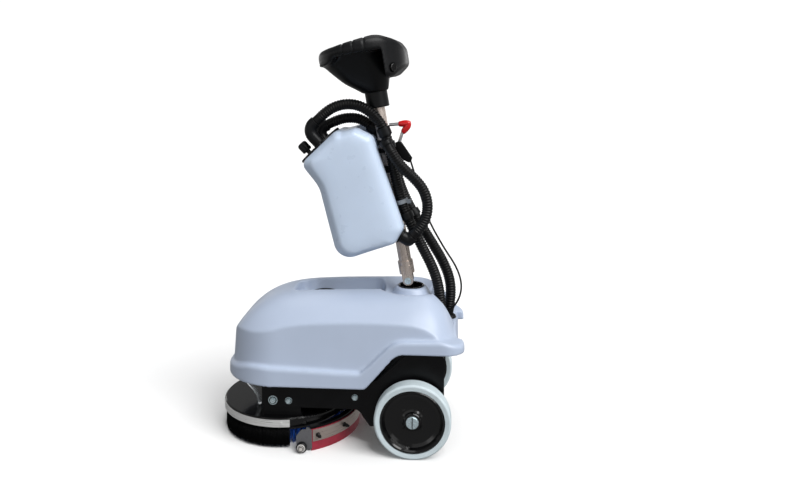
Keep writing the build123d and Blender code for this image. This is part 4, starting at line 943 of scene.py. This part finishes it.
def skirt_bristles():
    """Fine black strands in tufts under the front rim, in their backing strip."""
    chance = random.Random(SKIRT_SEED)
    vertices = []
    faces = []
    for i in range(SKIRT_TUFTS):
        angle = SKIRT_START + SKIRT_SPAN * (i + 0.5) / SKIRT_TUFTS
        out = Vector((math.cos(angle), math.sin(angle), 0))
        along = Vector((-out.y, out.x, 0))
        for _ in range(SKIRT_STRANDS):
            radius = SKIRT_R + chance.uniform(-SKIRT_DEPTH, SKIRT_DEPTH)
            shift = chance.uniform(-SKIRT_SHIFT, SKIRT_SHIFT)
            root = Vector((DECK_X, 0, SKIRT_HIGH)) + out * radius + along * shift
            splay_out, splay_along = (chance.uniform(*limits) for limits in SKIRT_SPLAY)
            tip = root + (out * splay_out + along * splay_along)
            tip.z = SKIRT_LOW + chance.uniform(0.0, SKIRT_UNEVEN)
            add_strand(vertices, faces, root, tip, SKIRT_STRAND_R)
    add_hoop(vertices, faces, *SKIRT_BACKING)
    add_hoop(vertices, faces, *SKIRT_CORE)
    piece = mesh_piece("skirt_bristle_rows", vertices, faces, "black_bristle")
    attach(piece, "chassis")
    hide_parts("skirt_brush")


def scrub_bristles():
    """Blue strands in round tufts on rings under the brush back."""
    chance = random.Random(TUFT_SEED)
    vertices = []
    faces = []
    for ring, count in TUFT_RINGS:
        for i in range(count):
            angle = 2 * math.pi * i / count
            out = Vector((math.cos(angle), math.sin(angle), 0))
            middle = Vector((DECK_X, 0, BRUSH_LOW)) + out * ring
            for _ in range(TUFT_STRANDS):
                turn = chance.uniform(0, 2 * math.pi)
                reach = TUFT_R * math.sqrt(chance.random())
                away = Vector((math.cos(turn), math.sin(turn), 0))
                root = middle + away * reach * TUFT_ROOT
                tip = middle + away * reach * TUFT_TIP + out * TUFT_LEAN
                tip.z = chance.uniform(0.0, TUFT_UNEVEN)
                add_strand(vertices, faces, root, tip, TUFT_STRAND_R)
    piece = mesh_piece("scrub_bristle_tufts", vertices, faces, "blue_bristle")
    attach(piece, "brush")
    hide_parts("brush_bristles")


# Scene
def soft_sun(name, azimuth, height, width, strength):
    """Wide soft light from far away, so that the floor stays even."""
    data = bpy.data.lights.new(name, "SUN")
    data.energy = strength
    data.angle = math.radians(width)
    light = placed(name, data)
    turn = math.radians(azimuth)
    rise = math.radians(height)
    towards = Vector((math.sin(turn) * math.cos(rise), -math.cos(turn) * math.cos(rise), math.sin(rise)))
    light.rotation_euler = towards.to_track_quat("Z", "Y").to_euler()


def pale_floor():
    """Wide pale floor that runs to the horizon."""
    corners = [(x * FLOOR_REACH, y * FLOOR_REACH, 0) for x, y in ((-1, -1), (1, -1), (1, 1), (-1, 1))]
    mesh = bpy.data.meshes.new("floor")
    mesh.from_pydata(corners, [], [(0, 1, 2, 3)])
    floor = placed("floor", mesh)
    material, shader = blank_material("floor_pale", colour=(0.92, 0.92, 0.92), roughness=0.9)
    shader.inputs["Specular IOR Level"].default_value = 0.1
    gloss(material, shader, noise(material, scale=3.0), low=0.86, high=0.94)
    mesh.materials.append(material)
    floor.visible_diffuse = False
    floor.visible_glossy = False


def pale_sky():
    """Even dim sky with a white band along the horizon that meets the floor."""
    world = bpy.data.worlds.new("studio")
    world.use_nodes = True
    tree = world.node_tree
    place = tree.nodes.new("ShaderNodeTexCoord")
    height = tree.nodes.new("ShaderNodeSeparateXYZ")
    ramp = tree.nodes.new("ShaderNodeValToRGB")
    stops = ramp.color_ramp.elements
    stops.new(0.5)
    stops.new(0.5)
    for stop, (position, level) in zip(stops, SKY_LEVELS):
        stop.position = position
        stop.color = (level, level, level, 1)
    halves = tree.nodes.new("ShaderNodeMapRange")
    halves.inputs["From Min"].default_value = -1.0
    tree.links.new(place.outputs["Generated"], height.inputs[0])
    tree.links.new(height.outputs["Z"], halves.inputs["Value"])
    tree.links.new(halves.outputs["Result"], ramp.inputs["Fac"])
    tree.links.new(ramp.outputs["Color"], tree.nodes["Background"].inputs["Color"])
    bpy.context.scene.world = world


def studio():
    """Floor, sky and four soft lights."""
    pale_floor()
    pale_sky()
    for light in LIGHTS:
        soft_sun(*light)
    bpy.context.scene.view_settings.view_transform = "Standard"


def camera():
    """Camera at the photograph's place, with the view shifted down to its framing."""
    data = bpy.data.cameras.new("camera")
    data.sensor_width = SENSOR_WIDTH
    data.lens = FOCAL_PX / IMAGE_WIDTH * SENSOR_WIDTH
    data.shift_y = (AXIS_ROW - MIDDLE_ROW) / IMAGE_WIDTH
    piece = placed("camera", data)
    piece.location = CAMERA_AT
    piece.rotation_euler = (math.pi / 2 - CAMERA_PITCH, 0, CAMERA_YAW)
    bpy.context.scene.camera = piece


for subpart in frame["record"]["subparts"]:
    dress(nodes[subpart["node"]], subpart["material_slot"])
for node_name, finish in NODE_FINISHES.items():
    nodes[node_name].data.materials[0] = finish
hoses()
tank_shell()
cover_shell()
head_shell()
lid_knob()
lever_grip()
painted_bolt_shade()
skirt_bristles()
scrub_bristles()
studio()
camera()
